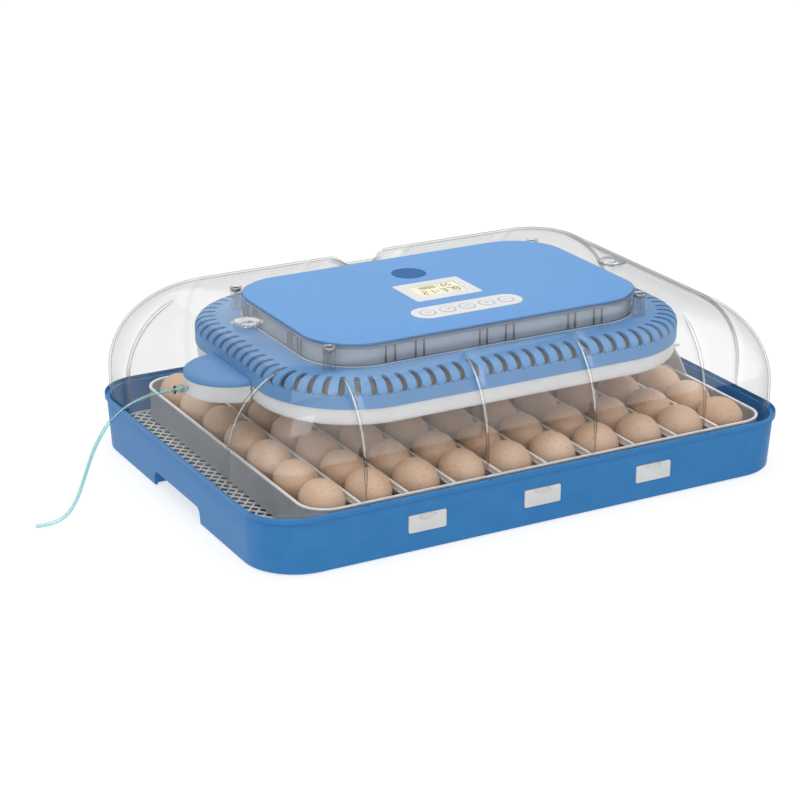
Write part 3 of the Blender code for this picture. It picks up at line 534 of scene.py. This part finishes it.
# ---- dome ----------------------------------------------------------------------------
# outline at the wall, skin, heights of the foot and the wall's top, and the crown's rise and reach
DOME, SKIN, FOOT, WALL_TOP, HIGH = (291.5, 210.5, 59.0), 2.2, 54.3, 85.0, 90.0
SX, SY = 87.0, 68.0
GROOVE_DEPTH, GROOVE_HALF = 4.0, 8.0
BEAD_R, BEAD_SET = 1.7, 3.8
# panel opening: half length, half width, corner radius and middle
PANEL_A, PANEL_B, PANEL_R, PANEL_Y = 182.0, 115.0, 55.0, -3.0
CHANNEL, CHANNEL_DEPTH = (-40.0, -30.0, 18.0, 28.0), 9.0


def spaced(half, n):
    return [-half + 2 * half * i / n for i in range(n + 1)]


def side_points(a, b, r, cy=0.0):
    """Rounded rectangle as (side, x, y), with evenly spread stations on each straight run."""
    hx, hy = a - r, b - r
    out = [("f", x, cy - b) for x in spaced(hx, 150)]
    runs = (("r", 1, -1, 270), ("b", 1, 1, 0), ("l", -1, 1, 90), ("", -1, -1, 180))
    for side, sx, sy, start in runs:
        for i in range(1, 24):
            t = radians(start + 90.0 * i / 24)
            out.append(("", sx * hx + r * cos(t), cy + sy * hy + r * sin(t)))
        if side == "r":
            out += [("r", a, cy + y) for y in spaced(hy, 80)]
        elif side == "b":
            out += [("b", -x, cy + b) for x in spaced(hx, 150)]
        elif side == "l":
            out += [("l", -a, cy - y) for y in spaced(hy, 80)]
    return out


def notch(v, centres, half, depth):
    """Depth of the nearest V groove."""
    d = min(abs(v - c) for c in centres)
    return depth * max(0.0, 1 - d / half)


def ramp(v):
    """Smooth rise and fall of the cable channel along the back edge."""
    a, b, c, d = CHANNEL
    t = max(0.0, min(1.0, (v - a) / (b - a), (d - v) / (d - c)))
    return t * t * (3 - 2 * t)


def shape(points, height, dip, nx, ny, nz, chan):
    """Loop of the dome with its grooves and channel pressed in along the surface's direction."""
    out = []
    for side, x, y in points:
        depth = 0.0
        if side and dip > 0:
            place, centres = (x, GROOVES_X) if side in "fb" else (y, GROOVES_Y)
            depth = notch(place, centres, GROOVE_HALF, dip)
        drop = chan * ramp(x) if side == "b" else 0.0
        x += depth * nx * {"r": -1, "l": 1}.get(side, 0)
        y += (depth + drop) * ny * {"f": 1, "b": -1}.get(side, 0)
        out.append((x, y, height - (depth + drop) * nz))
    return out


def dome_loop(tau, skin, z=None):
    """Loop of the dome at angle tau up its crown, set in by the skin's thickness."""
    k = 1 - cos(tau)
    nx, nzx = cos(tau) / SX, sin(tau) / HIGH
    ny, nzy = cos(tau) / SY, sin(tau) / HIGH
    lx, ly = hypot(nx, nzx), hypot(ny, nzy)
    nx, ny, nz = nx / lx, ny / ly, (nzx / lx + nzy / ly) / 2
    a, b = DOME[0] - SX * k - skin * nx, DOME[1] - SY * k - skin * ny
    r = DOME[2] * (1 - 0.35 * k) - skin
    height = WALL_TOP + HIGH * sin(tau) - skin * nz if z is None else z
    fade = max(0.0, min(1.0, (radians(72) - tau) / radians(16)))
    chan = CHANNEL_DEPTH * max(0.0, min(1.0, (tau - 0.15) / 0.45))
    return shape(side_points(a, b, r), height, GROOVE_DEPTH * fade, nx, ny, nz, chan)


def opening(grow, z, chan=0.0):
    """Loop round the panel opening."""
    points = side_points(PANEL_A + grow, PANEL_B + grow, PANEL_R + grow, PANEL_Y)
    return shape(points, z, 0, 0, 0, 1, chan)


BOSSES = ((-175.0, 101.0), (-175.5, -107.0), (169.0, -110.5), (173.0, 98.5))
VENTS = ((-212.0, -5.0), (204.0, -8.0))


def bead_tube(path, r, seg=10):
    """Round bead swept along a path of points."""
    pts = [Vector(p) for p in path]
    loops = []
    for i, p in enumerate(pts):
        t = (pts[min(i + 1, len(pts) - 1)] - pts[max(i - 1, 0)]).normalized()
        side = t.cross(Vector((0.3, 0.9, 0.3)) if abs(t.y) < 0.8 else Vector((1, 0, 0))).normalized()
        up = side.cross(t)
        k = 0.35 + 0.65 * min(1.0, i / 3.0, (len(pts) - 1 - i) / 3.0)
        loops.append([tuple(p + r * k * (cos(a) * side + sin(a) * up))
                      for a in [2 * pi * j / seg for j in range(seg)]])
    vs, fs = stack(loops)
    return vs, [f[::-1] for f in fs]


def make_groove_beads():
    """Rounded bead moulded along the bottom of every groove of the dome."""
    beads = []
    taus = [radians(t) for t in range(0, 71, 3)]
    for side in "flr":
        for c in (GROOVES_X if side == "f" else GROOVES_Y):
            path = []
            for z in (60.0, 68.0, 77.0):
                path.append((c, -206.7, z) if side == "f" else (-287.7 if side == "l" else 287.7, c, z))
            for t in taus:
                k = 1 - cos(t)
                along = SX if side in "lr" else SY
                n, nz = cos(t) / along, sin(t) / HIGH
                ln = hypot(n, nz)
                n, nz = n / ln, nz / ln
                reach = (DOME[0] if side in "lr" else DOME[1]) - along * k - BEAD_SET * n
                height = WALL_TOP + HIGH * sin(t) - BEAD_SET * nz
                sign = -1 if side in "fl" else 1
                path.append((c, sign * reach, height) if side == "f" else (sign * reach, c, height))
            beads.append(bead_tube(path, BEAD_R))
    piece("groove_beads", *merge(beads), "bead_clear", "lid", (), "clear_plastic", 60)


def make_dome():
    """Dome skin with its skirt, a light sleeve of painted light inside the skirt, boss posts, vent seats, ribs,
    a painted glint line and a painted shade line at the skirt's edges, and screw heads.
    """
    taus = [radians(90) * i / 30 for i in range(31)]
    loops = [dome_loop(0, 0.4, FOOT), dome_loop(0, 0, FOOT + 0.4), dome_loop(0, 0, 62), dome_loop(0, 0, 74)]
    loops += [dome_loop(t, 0) for t in taus]
    loops += [opening(2.4, 175.0, 9.0), opening(1.6, 175.2, 8.0), opening(1.4, 175.5), opening(0.3, 175.5)]
    loops += [opening(0.3, 172.7), opening(-1.5, 172.7), opening(-1.5, 153.3), opening(1.2, 153.3)]
    loops += [opening(1.6, 153.8), opening(1.6, 171.6, 7.8), opening(2.4, 172.8, 9.0)]
    loops += [dome_loop(t, SKIN) for t in reversed(taus)] + [dome_loop(0, SKIN, 74), dome_loop(0, SKIN, 62)]
    loops += [dome_loop(0, SKIN, FOOT + 0.4), dome_loop(0, SKIN - 0.4, FOOT)]
    vs, fs = stack(loops, ring=True)
    piece("dome_skin", vs, fs, "clear_plastic", "lid", ["clear_dome"], "clear_plastic", 50)
    posts = []
    for x, y in BOSSES:
        rings = [(2.2, 153.5), (5.6, 153.5), (5.9, 154.5), (5.6, 160.0), (5.7, 168.0), (6.2, 171.0)]
        rings += [(6.2, 175.5), (5.9, 176.0), (5.2, 176.0), (4.95, 175.7), (4.95, 171.7), (2.2, 171.4)]
        posts.append(turned(rings, x, y, 40, ring=True))
    piece("boss_posts", *merge(posts), "cap_clear", "lid", (), "clear_plastic", 40)
    rings = [(9.0, 175.1), (15.3, 175.1), (15.5, 175.4), (15.2, 175.8), (9.0, 175.8)]
    seats = [turned(rings, x, y, 48, ring=True) for x, y in VENTS]
    piece("vent_seats", *merge(seats), "cap_clear", "lid", (), "clear_plastic", 40)
    ribs = []
    for x in (-123, -113, -91, -82, -21, -13, 8, 17, 79, 87, 109, 118):
        for side in (-1, 1):
            y0 = PANEL_Y + side * PANEL_B
            lo, hi = sorted((y0 + side * 1.7, y0 + side * 3.2))
            ribs.append(box(x - 0.6, x + 0.6, lo, hi, 153.6, 171.0))
    for cy in (-52.0, 46.0):
        for side in (-1, 1):
            x0 = side * PANEL_A
            for dy in (-14, -7, 7, 14):
                lo, hi = sorted((x0 + side * 1.7, x0 + side * 3.2))
                ribs.append(box(lo, hi, cy + dy - 0.6, cy + dy + 0.6, 153.6, 171.0))
    piece("skirt_ribs", *merge(ribs), "clear_plastic", "lid", (), "clear_plastic", 0)
    # light milky sleeve inside the clear skirt: painted light that brightens the skirt
    sleeve = [opening(g, z) for g, z in ((-1.9, 153.6), (-1.7, 153.6), (-1.7, 172.4), (-1.9, 172.4))]
    piece("skirt_light_sleeve", *stack(sleeve, ring=True), "skirt_haze", "lid", (), "clear_plastic", 35)
    # thin white ring at the foot of the skirt: a painted glint
    bead = [opening(g, z) for g, z in ((1.75, 153.4), (2.35, 153.4), (2.35, 154.1), (1.75, 154.1))]
    piece("skirt_glint_ring", *stack(bead, ring=True), "tray_white", "lid", (), "clear_plastic", 35)
    # dark thin ring under the panel's edge: painted shade of the gap between panel and dome lip
    gap_shade_ring = [opening(g, z) for g, z in ((1.45, 174.0), (1.75, 174.0), (1.75, 174.7), (1.45, 174.7))]
    piece("lip_gap_shade", *stack(gap_shade_ring, ring=True), "seam_grey", "lid", (), "clear_plastic", 35)
    rings = [(1.6, 170.5), (1.7, 171.8), (4.6, 171.9), (4.7, 172.2), (4.7, 173.8), (4.5, 174.2), (4.0, 174.4),
             (2.0, 174.4), (1.7, 173.4)]
    for i, (x, y) in enumerate(BOSSES):
        number = str(i + 1)
        piece("screw_head_" + number, *turned(rings, x, y, 40), "rubber_black", "lid", ["screw_" + number],
              "black_plastic", 40)
    make_groove_beads()


# ---- panel ---------------------------------------------------------------------------
SEAT_Z, TRIM_Z, THROUGH = 174.2, 176.4, (170, 180)
# key strip: middle and half sizes, the keys' places, and the holes they move in
STRIP_X, KEY_Y, STRIP_A, STRIP_B = -3.0, -65.3, 61, 16.5
BUTTONS_X = (-47.0, -25.0, -3.0, 19.0, 41.0)
KEY_R, KEY_HOLE_R, KEY_TOP = 7.4, 7.7, 176.8
LAMP_X, LAMP_Y, LAMP_R = -1.5, 56.5, 17.5
INK_LOW, INK_HIGH, INK_T = 176.05, 176.15, 0.08


def rounded_plate(a, b, r, cx, cy, z0, z1, soft=0.4, n=32):
    """Plate with a softened upper edge."""
    loops = [flat(round_rect(a, b, r, cx, cy, n), z0)]
    for k in range(5):
        t = radians(90) * k / 4
        d = soft * (1 - cos(t))
        loops.append(flat(round_rect(a - d, b - d, r - d, cx, cy, n), z1 - soft + soft * sin(t)))
    return stack(loops)


def make_panel():
    """Panel film with recesses for the display frame, the key strip and the lamp lens."""
    plate = rounded_plate(PANEL_A, PANEL_B, PANEL_R, 0, PANEL_Y, 173, 176, 0.6)
    panel = piece("panel_skin", *plate, "panel_blue", "lid", ["control_panel"], "panel_blue")
    cuts = [box(-39.3, 35.8, -31.6, 24.3, SEAT_Z, 180)]
    cuts.append(prism(round_rect(61.3, 16.8, 16.75, STRIP_X, KEY_Y), SEAT_Z, 180))
    cuts.append(prism(circle(LAMP_X, LAMP_Y, LAMP_R + 0.3, 72), SEAT_Z, 180))
    carve(panel, cuts)
    plate = rounded_plate(37.25, 27.65, 2.0, -1.75, -3.65, SEAT_Z + 0.3, TRIM_Z, 0.3, 8)
    bezel = piece("bezel_skin", *plate, "bezel_white", "lid", ["display_bezel"], "white_plastic")
    carve(bezel, [box(-27, 24.5, -18.5, 12.5, *THROUGH)])
    plate = rounded_plate(STRIP_A, STRIP_B, STRIP_B - 0.05, STRIP_X, KEY_Y, SEAT_Z + 0.3, TRIM_Z, 0.3, 24)
    strip = piece("strip_skin", *plate, "bezel_white", "lid", ["button_bezel"], "white_plastic")
    carve(strip, [prism(circle(x, KEY_Y, KEY_HOLE_R, 40), *THROUGH) for x in BUTTONS_X])
    ring = [(7.8, TRIM_Z), (8.5, TRIM_Z), (8.5, TRIM_Z + INK_T), (7.8, TRIM_Z + INK_T)]
    rings = [turned(ring, x, KEY_Y, 48, ring=True) for x in BUTTONS_X]
    piece("strip_rings", *merge(rings), "ink_blue", "lid", (), None, 0)
    rings = [(LAMP_R, 174.5), (LAMP_R, 175.3), (17.3, 175.6), (16.7, 175.8), (12.0, 175.9)]
    lens = turned(rings, LAMP_X, LAMP_Y, 72)
    # the lens's dark blue is partly its own colour and partly painted shade of its recess
    piece("lens_skin", *lens, "lamp_blue", "lid", ["lamp_lens"], "lamp_blue")
    make_digits()
    for i, x in enumerate(BUTTONS_X):
        make_button(i + 1, x)


SEGMENTS = {"0": "abcdef", "1": "bc", "2": "abged", "3": "abgcd", "5": "afgcd", "6": "afgedc", "7": "abc",
            "8": "abcdefg", "-": "g"}


def digit(ch, x, y, w, h, t):
    """Seven-segment figure as thin raised bars."""
    bars = {"a": (0, h, w, 0), "g": (0, h / 2, w, 0), "d": (0, 0, w, 0), "f": (0, h / 2, 0, h / 2),
            "b": (w, h / 2, 0, h / 2), "e": (0, 0, 0, h / 2), "c": (w, 0, 0, h / 2)}
    out = []
    for key in SEGMENTS[ch]:
        bx, by, dx, dy = bars[key]
        x0, x1 = x + bx - (t / 2 if dy else -t / 2), x + bx + dx + (t / 2 if dy else -t / 2)
        y0, y1 = y + by - (t / 2 if dx else -t / 2), y + by + dy + (t / 2 if dx else -t / 2)
        out.append(box(x0, x1, y0, y1, INK_LOW, INK_HIGH))
    return out


def make_digits():
    """Generic figures of the display: two groups above, one row below, and a colon."""
    bars = []
    rows = (("1888", -20.5, 5.4, 1.5, 3.4, 7.0, 1.3), ("65", 8.0, 5.6, 1.5, 3.4, 7.0, 1.3),
            ("21-378", -21.0, 7.2, -14.5, 4.6, 10.0, 1.6))
    for text, x, step, y, w, h, t in rows:
        for i, ch in enumerate(text):
            bars += digit(ch, x + step * i, y, w, h, t)
    bars += [box(2.8, 3.9, y, y + 1.1, INK_LOW, INK_HIGH) for y in (2.8, 6.0)]
    piece("lcd_digits", *merge(bars), "ink_dark", "lid", (), None, 0)


def stroke(x0, y0, x1, y1, w, z=KEY_TOP):
    """Thin printed line on a key."""
    ln = hypot(x1 - x0, y1 - y0)
    ox, oy = -(y1 - y0) / ln * w / 2, (x1 - x0) / ln * w / 2
    outline = [(x0 - ox, y0 - oy), (x1 - ox, y1 - oy), (x1 + ox, y1 + oy), (x0 + ox, y0 + oy)]
    return prism(outline, z, z + INK_T)


def make_button(i, x):
    """Key cap and its generic mark, both moving with the key."""
    cap = [(KEY_R, 175.1), (KEY_R, 176.3), (7.2, 176.6), (6.9, 176.75), (6.4, KEY_TOP)]
    number = str(i)
    piece("key_cap_" + number, *turned(cap, x, KEY_Y, 40), "bezel_white", "key_" + number, ["button_" + number],
          "white_plastic")
    marks = {1: [(-3, -1, -1, 1.5), (-1, 1.5, 1, -1.5), (1, -1.5, 3, 1)],
             2: [(-3, 0, 3, 0), (3, 0, 1.4, 1.4), (3, 0, 1.4, -1.4)],
             3: [(-2.6, -1.6, -2.6, 1.6), (0, -1.6, 0, 1.6), (2.6, -1.6, 2.6, 1.6)],
             4: [(-2.8, 0, 2.8, 0), (0, -2.8, 0, 2.8)], 5: [(-2.8, 0, 2.8, 0)]}[i]
    lines = [stroke(x + a, KEY_Y + b, x + c, KEY_Y + d, 0.8) for a, b, c, d in marks]
    piece("key_mark_" + number, *merge(lines), "ink_blue", "key_" + number, (), None, 0)


# ---- head unit -----------------------------------------------------------------------
# housing: middle, then half length, half width and corner radius
HC, HOUSE = (-1.6, -2.0), (228.0, 161.6, 98.7)
SLOTS, SLOT_HALF, HOUSE_WALL = 90, 3.1, 2.5


def perimeter(s):
    """Point and outward direction at arc length s round the housing outline."""
    a, b, r = HOUSE
    hx, hy, q = a - r, b - r, pi * r / 2
    runs = [(2 * hx, "s", -hx, -b, 1, 0), (q, "c", hx, -hy, 270, 0), (2 * hy, "s", a, -hy, 0, 1),
            (q, "c", hx, hy, 0, 0), (2 * hx, "s", hx, b, -1, 0), (q, "c", -hx, hy, 90, 0),
            (2 * hy, "s", -a, hy, 0, -1), (q, "c", -hx, -hy, 180, 0)]
    total = sum(run[0] for run in runs)
    s %= total
    for length, kind, px, py, d0, d1 in runs:
        if s <= length:
            break
        s -= length
    if kind == "s":
        return px + d0 * s + HC[0], py + d1 * s + HC[1], d1, -d0
    t = radians(d0) + s / r
    return px + r * cos(t) + HC[0], py + r * sin(t) + HC[1], cos(t), sin(t)


PITCH = (4 * (HOUSE[0] + HOUSE[1] - 2 * HOUSE[2]) + 2 * pi * HOUSE[2]) / SLOTS


def make_housing():
    """Slotted cover skinned as a grid, with the slots left open and walled through its thickness."""
    offs = [-3.1, -2.8, -2.0, -1.0, 0.0, 1.0, 2.0, 2.8, 3.1, 5.2, 7.7, 10.2]
    cols = [(perimeter((k + 0.35) * PITCH + d), d if abs(d) <= SLOT_HALF else None)
            for k in range(SLOTS) for d in offs]
    prof = [(0, 128.15), (0, 131), (0, 136), (0, 140.8), (0, 142.0)]
    prof += [(14 * (1 - cos(radians(a))), 142.0 + 10.8 * sin(radians(a))) for a in range(10, 90, 10)]
    prof += [(14.0, 152.8), (17.0, 152.95), (21.0, 153.0), (45.0, 153.0)]
    # a slot runs between these two rows of the profile, with a round end at each
    lo, hi = 3, 15
    skins = []
    for side in (0, 1):
        rows = []
        for j, (inset, z) in enumerate(prof):
            row = []
            for (x, y, nx, ny), d in cols:
                i2, z2 = inset, z
                if d is not None and j in (lo, hi):
                    lift = SLOT_HALF - sqrt(max(0.0, SLOT_HALF * SLOT_HALF - d * d))
                    i2, z2 = (inset, z + lift) if j == lo else (inset - lift, z)
                if side:
                    nz = max(0.0, min(1.0, (j - lo - 1) / 8.0))
                    i2 += HOUSE_WALL * (1 - nz * nz) + (0.2 if j > lo else 0)
                    z2 -= HOUSE_WALL * nz
                row.append((x - nx * i2, y - ny * i2, z2))
            rows.append(row)
        skins.append(rows)
    n, m = len(cols), len(prof)
    verts = [p for rows in skins for row in rows for p in row]

    def idx(s, j, i):
        return s * n * m + j * n + i % n

    faces = []
    inside = [cols[i][1] is not None and cols[(i + 1) % n][1] is not None for i in range(n)]
    for j in range(m - 1):
        for i in range(n):
            hole = inside[i] and lo <= j < hi
            if not hole:
                faces.append((idx(0, j, i), idx(0, j, i + 1), idx(0, j + 1, i + 1), idx(0, j + 1, i)))
                faces.append((idx(1, j, i + 1), idx(1, j, i), idx(1, j + 1, i), idx(1, j + 1, i + 1)))
                continue
            if j == lo:
                faces.append((idx(0, j, i), idx(0, j, i + 1), idx(1, j, i + 1), idx(1, j, i))[::-1])
            if j == hi - 1:
                faces.append((idx(0, hi, i), idx(0, hi, i + 1), idx(1, hi, i + 1), idx(1, hi, i)))
            if not inside[i - 1]:
                faces.append((idx(0, j, i), idx(0, j + 1, i), idx(1, j + 1, i), idx(1, j, i))[::-1])
            if not inside[(i + 1) % n]:
                faces.append((idx(0, j, i + 1), idx(0, j + 1, i + 1), idx(1, j + 1, i + 1), idx(1, j, i + 1)))
    faces += [(idx(0, 0, i + 1), idx(0, 0, i), idx(1, 0, i), idx(1, 0, i + 1)) for i in range(n)]
    faces.append(tuple(idx(0, m - 1, i) for i in range(n)))
    faces.append(tuple(idx(1, m - 1, i) for i in reversed(range(n))))
    piece("housing_skin", verts, faces, "head_blue", "lid", ["vent_housing"], "head_blue", 40)
    liner = ((9, 130), (8, 130), (8, 139), (12, 145), (22, 149.2), (23, 148.4), (13, 144), (9, 139))
    liner = stack([ring_loop(i, z) for i, z in liner], ring=True)
    piece("duct_liner", *liner, "duct_taupe", "lid", (), None, 40)
    make_lower_shell()


def make_lower_shell():
    """White tray under the housing, open for the fan, the air slots, the drive shaft and the sensor."""
    rows = [(6.0, 113.5), (4.0, 127.85), (1.5, 127.85), (1.6, 120.0), (1.9, 115.5), (2.6, 113.2), (4.2, 111.6),
            (7.0, 111.0)]
    shell = piece("shell_skin", *stack([ring_loop(i, z) for i, z in rows]), "white_plastic", "lid",
                  ["lower_shell"], "white_plastic")
    holes = [turned([(48, 100), (48, 120)], 0, -2, 64), turned([(5, 100), (5, 120)], 175, -15, 24)]
    holes += [box(sx * 150 - 25, sx * 150 + 25, y - 4, y + 4, 100, 120)
              for sx in (-1, 1) for y in (-70, -40, 66, 96)]
    holes.append(turned([(3.6, 100), (3.6, 120)], 60, 80, 24))
    carve(shell, holes)


def ring_loop(inset, z, n=28):
    """The housing's outline, set in."""
    a, b, r = HOUSE
    return flat(round_rect(a - inset, b - inset, r - inset, *HC, n), z)


# pump pod: the half ellipse's middle and radii, and the flat side of the room inside
POD_X, POD_Y, POD_A, POD_B = -229.9, -4.0, 46.0, 45.0
POD_ROOM_X = -231.9


def pod_loop(inset, z, n=56):
    """Half ellipse of the pod, set in."""
    cx, cy, a, b = POD_X, POD_Y, POD_A, POD_B
    pts = [(cx, cy + b - inset)]
    for k in range(1, n):
        t = pi / 2 + pi * k / n
        pts.append((cx + (a - inset) * cos(t), cy + (b - inset) * sin(t)))
    pts.append((cx, cy - b + inset))
    return flat(pts, z)


def pod_room(inset, low, high):
    """Hollow inside the pod between two heights."""
    return stack([[(min(x, POD_ROOM_X), y, z) for x, y, z in pod_loop(inset, h)] for h in (low, high)])


def make_pod():
    """Pump pod: a white tub with a blue lid."""
    rows = [(4.0, 111.0), (1.6, 111.7), (0.5, 113.4), (0.1, 116.0), (0.0, 127.85)]
    skin = stack([pod_loop(i, z) for i, z in rows])
    body = piece("pod_tub", *skin, "white_plastic", "lid", ["pod_body"], "white_plastic")
    carve(body, [pod_room(2.2, 113.5, 135.0), along_x(circle(-5, 120, 2.1, 24), -290, -262)])
    rows = [(0.0, 128.15), (0.0, 130.0), (0.3, 131.2), (1.0, 132.3), (2.2, 133.2), (4.0, 133.8), (7.0, 134.0)]
    skin = stack([pod_loop(i, z) for i, z in rows])
    cover = piece("pod_lid", *skin, "head_blue", "lid", ["pod_cover"], "head_blue")
    carve(cover, [pod_room(2.4, 120.0, 131.0)])


# ---- hose ----------------------------------------------------------------------------
ROUTE = ((-286.6, -5, 120), (-298, -4.8, 120), (-312, -4.5, 119), (-328, -4, 115.5), (-342, -3, 109),
         (-354, -1.5, 99), (-363.5, 0, 86), (-371, 2, 71), (-377, 3.5, 55), (-382.5, 5, 39),
         (-388.5, 6, 24), (-396.5, 7, 11.5), (-406, 8, 4.8), (-417, 9, 2.4), (-430, 10, 2.3))
HOSE_R, BORE_R, HOSE_Y, HOSE_Z = 2.0, 1.25, -5, 120


def route_points(route, per):
    """Smooth curve through the route's points, with some steps for each stretch."""
    pts = [Vector(p) for p in route]
    pts = [2 * pts[0] - pts[1]] + pts + [2 * pts[-1] - pts[-2]]
    fine = []
    for i in range(1, len(pts) - 2):
        p0, p1, p2, p3 = pts[i - 1:i + 3]
        for k in range(per):
            t = k / per
            fine.append(0.5 * (2 * p1 + (p2 - p0) * t + (2 * p0 - 5 * p1 + 4 * p2 - p3) * t * t
                               + (3 * p1 - p0 - 3 * p2 + p3) * t ** 3))
    return fine + [pts[-2]]


def make_clip():
    """Small clamp round the hose with two dark ears."""
    band = [[(x, HOSE_Y + v, HOSE_Z + w) for v, w in circle(0, 0, r, 32)]
            for r, x in ((2.15, -290.2), (2.6, -290.2), (2.6, -288.2), (2.15, -288.2))]
    piece("clip_skin", *stack(band, ring=True), "hose_teal", "lid", ["hose_clip"], "black_plastic", 40)
    ears = [box(-290.2, -288.0, -5.9, -4.1, 122.2, 123.9), box(-290.2, -288.0, -5.9, -4.1, 116.1, 117.8)]
    piece("clip_ears", *merge(ears), "black_plastic", "lid", (), "black_plastic", 0)
    frame["nodes"]["hose_grommet"].data.materials[0] = MATS["hose_teal"]


def make_hose():
    """Soft tube with a bore, swept along its route."""
    pts = route_points(ROUTE, 5)
    loops = []
    for r, order in ((HOSE_R, pts), (BORE_R, pts[::-1])):
        for i, p in enumerate(order):
            ahead = order[min(i + 1, len(order) - 1)] - order[max(i - 1, 0)]
            t = (ahead if r == HOSE_R else -ahead).normalized()
            side = t.cross(Vector((0, 1, 0))).normalized()
            up = side.cross(t)
            loops.append([tuple(p + r * (cos(a) * side + sin(a) * up))
                          for a in [2 * pi * k / 20 for k in range(20)]])
    vs, fs = stack(loops, ring=True)
    fs = [f[::-1] for f in fs]
    hose = piece("hose_tube", vs, fs, "hose_teal", "lid", ["water_hose"], "hose_teal", 60)


# ---- stage, light and camera ---------------------------------------------------------
def area(name, spot, aim, sx, sy, watts):
    """White rectangular lamp at a spot, turned towards a point."""
    light = bpy.data.lights.new(name, "AREA")
    light.shape, light.size, light.size_y, light.energy = "RECTANGLE", sx, sy, watts
    obj = bpy.data.objects.new(name, light)
    obj.location = spot
    obj.rotation_euler = (Vector(aim) - Vector(spot)).to_track_quat("-Z", "Y").to_euler()
    COLL.objects.link(obj)


def light_sky(tree):
    """Even soft sky; in reflections it is dark below the horizon and brighter in front of the object."""
    link = tree.links.new
    sky = tree.nodes["Background"]
    sky.inputs["Color"].default_value = (1, 1, 1, 1)
    co = node(tree, "ShaderNodeTexCoord")
    split = node(tree, "ShaderNodeSeparateXYZ")
    up = node(tree, "ShaderNodeMapRange")
    front = node(tree, "ShaderNodeMapRange")
    low = node(tree, "ShaderNodeMapRange")
    for n, lo, hi, out0, out1 in ((up, -0.11, -0.09, 0.0, 1.0), (front, 0.15, -0.25, 0.75, 2.3),
                                  (low, -0.2, 0.5, 0.12, 0.95)):
        for key, value in zip(("From Min", "From Max", "To Min", "To Max"), (lo, hi, out0, out1)):
            n.inputs[key].default_value = value
    both = node(tree, "ShaderNodeMix", data_type="FLOAT")
    rays = node(tree, "ShaderNodeLightPath")
    pick = node(tree, "ShaderNodeMix", data_type="FLOAT")
    pick.inputs[2].default_value = 0.75
    link(co.outputs["Generated"], split.inputs["Vector"])
    link(split.outputs["Z"], up.inputs["Value"])
    link(split.outputs["Y"], front.inputs["Value"])
    link(split.outputs["Y"], low.inputs["Value"])
    link(up.outputs["Result"], both.inputs[0])
    link(low.outputs["Result"], both.inputs[2])
    link(front.outputs["Result"], both.inputs[3])
    link(rays.outputs["Is Glossy Ray"], pick.inputs[0])
    link(both.outputs[0], pick.inputs[3])
    link(pick.outputs[0], sky.inputs["Strength"])


def make_stage():
    """White ground that partly glows, the sky and three lamps."""
    mat, _, bsdf = new_mat("floor_paper")
    bsdf.inputs["Base Color"].default_value = (0.40, 0.40, 0.40, 1)
    bsdf.inputs["Roughness"].default_value = 0.9
    bsdf.inputs["Specular IOR Level"].default_value = 0.0
    bsdf.inputs["Emission Color"].default_value = (1, 1, 1, 1)
    bsdf.inputs["Emission Strength"].default_value = 0.68
    mesh = bpy.data.meshes.new("floor")
    mesh.from_pydata([(-8, -8, 0), (8, -8, 0), (8, 14, 0), (-8, 14, 0)], [], [(0, 1, 2, 3)])
    mesh.materials.append(mat)
    floor = bpy.data.objects.new("floor", mesh)
    COLL.objects.link(floor)
    world = bpy.data.worlds.new("studio")
    bpy.context.scene.world = world
    world.use_nodes = True
    floor.visible_glossy = False
    light_sky(world.node_tree)
    area("key", (-0.9, -1.3, 1.9), (0, 0, 0.05), 1.2, 0.9, 10)
    area("top", (0.2, 0.3, 2.2), (0, 0, 0), 1.8, 1.4, 14)
    area("back", (0.6, 1.8, 1.2), (0, 0, 0.1), 1.6, 0.8, 4)


# view: azimuth and height in degrees, distance and aim in metres, lens in millimetres
VIEW_AZ, VIEW_EL, VIEW_DIST = -28.64, 20.50, 2.3153
VIEW_AIM = (-0.0269, 0.0230, 0.0564)
LENS, SENSOR = 101.79, 36.0


def make_camera():
    az, el, dist = radians(VIEW_AZ), radians(VIEW_EL), VIEW_DIST
    target = Vector(VIEW_AIM)
    back = Vector((sin(az) * cos(el), -cos(az) * cos(el), sin(el)))
    data = bpy.data.cameras.new("camera")
    data.lens, data.sensor_width = LENS, SENSOR
    data.shift_x, data.shift_y = -0.0031, -0.0036
    data.clip_start, data.clip_end = 0.05, 60.0
    cam = bpy.data.objects.new("camera", data)
    cam.location = target + back * dist
    cam.rotation_euler = (-back).to_track_quat("-Z", "Y").to_euler()
    COLL.objects.link(cam)
    bpy.context.scene.camera = cam
    bpy.context.scene.view_settings.view_transform = "Standard"


# ---- whole object --------------------------------------------------------------------
make_base()
make_ports()
make_mat()
make_eggs()
make_tray()
make_dome()
make_panel()
make_housing()
make_pod()
make_clip()
make_hose()
make_stage()
make_camera()
# these CAD nodes stay visible and take the finish of the new pieces next to them
for name in ["tray_rack"] + ["divider_" + str(i + 1) for i in range(9)]:
    frame["nodes"][name].data.materials[0] = MATS["tray_white"]
for name in ("vent_cap_1", "vent_cap_2"):
    frame["nodes"][name].data.materials[0] = MATS["cap_clear"]
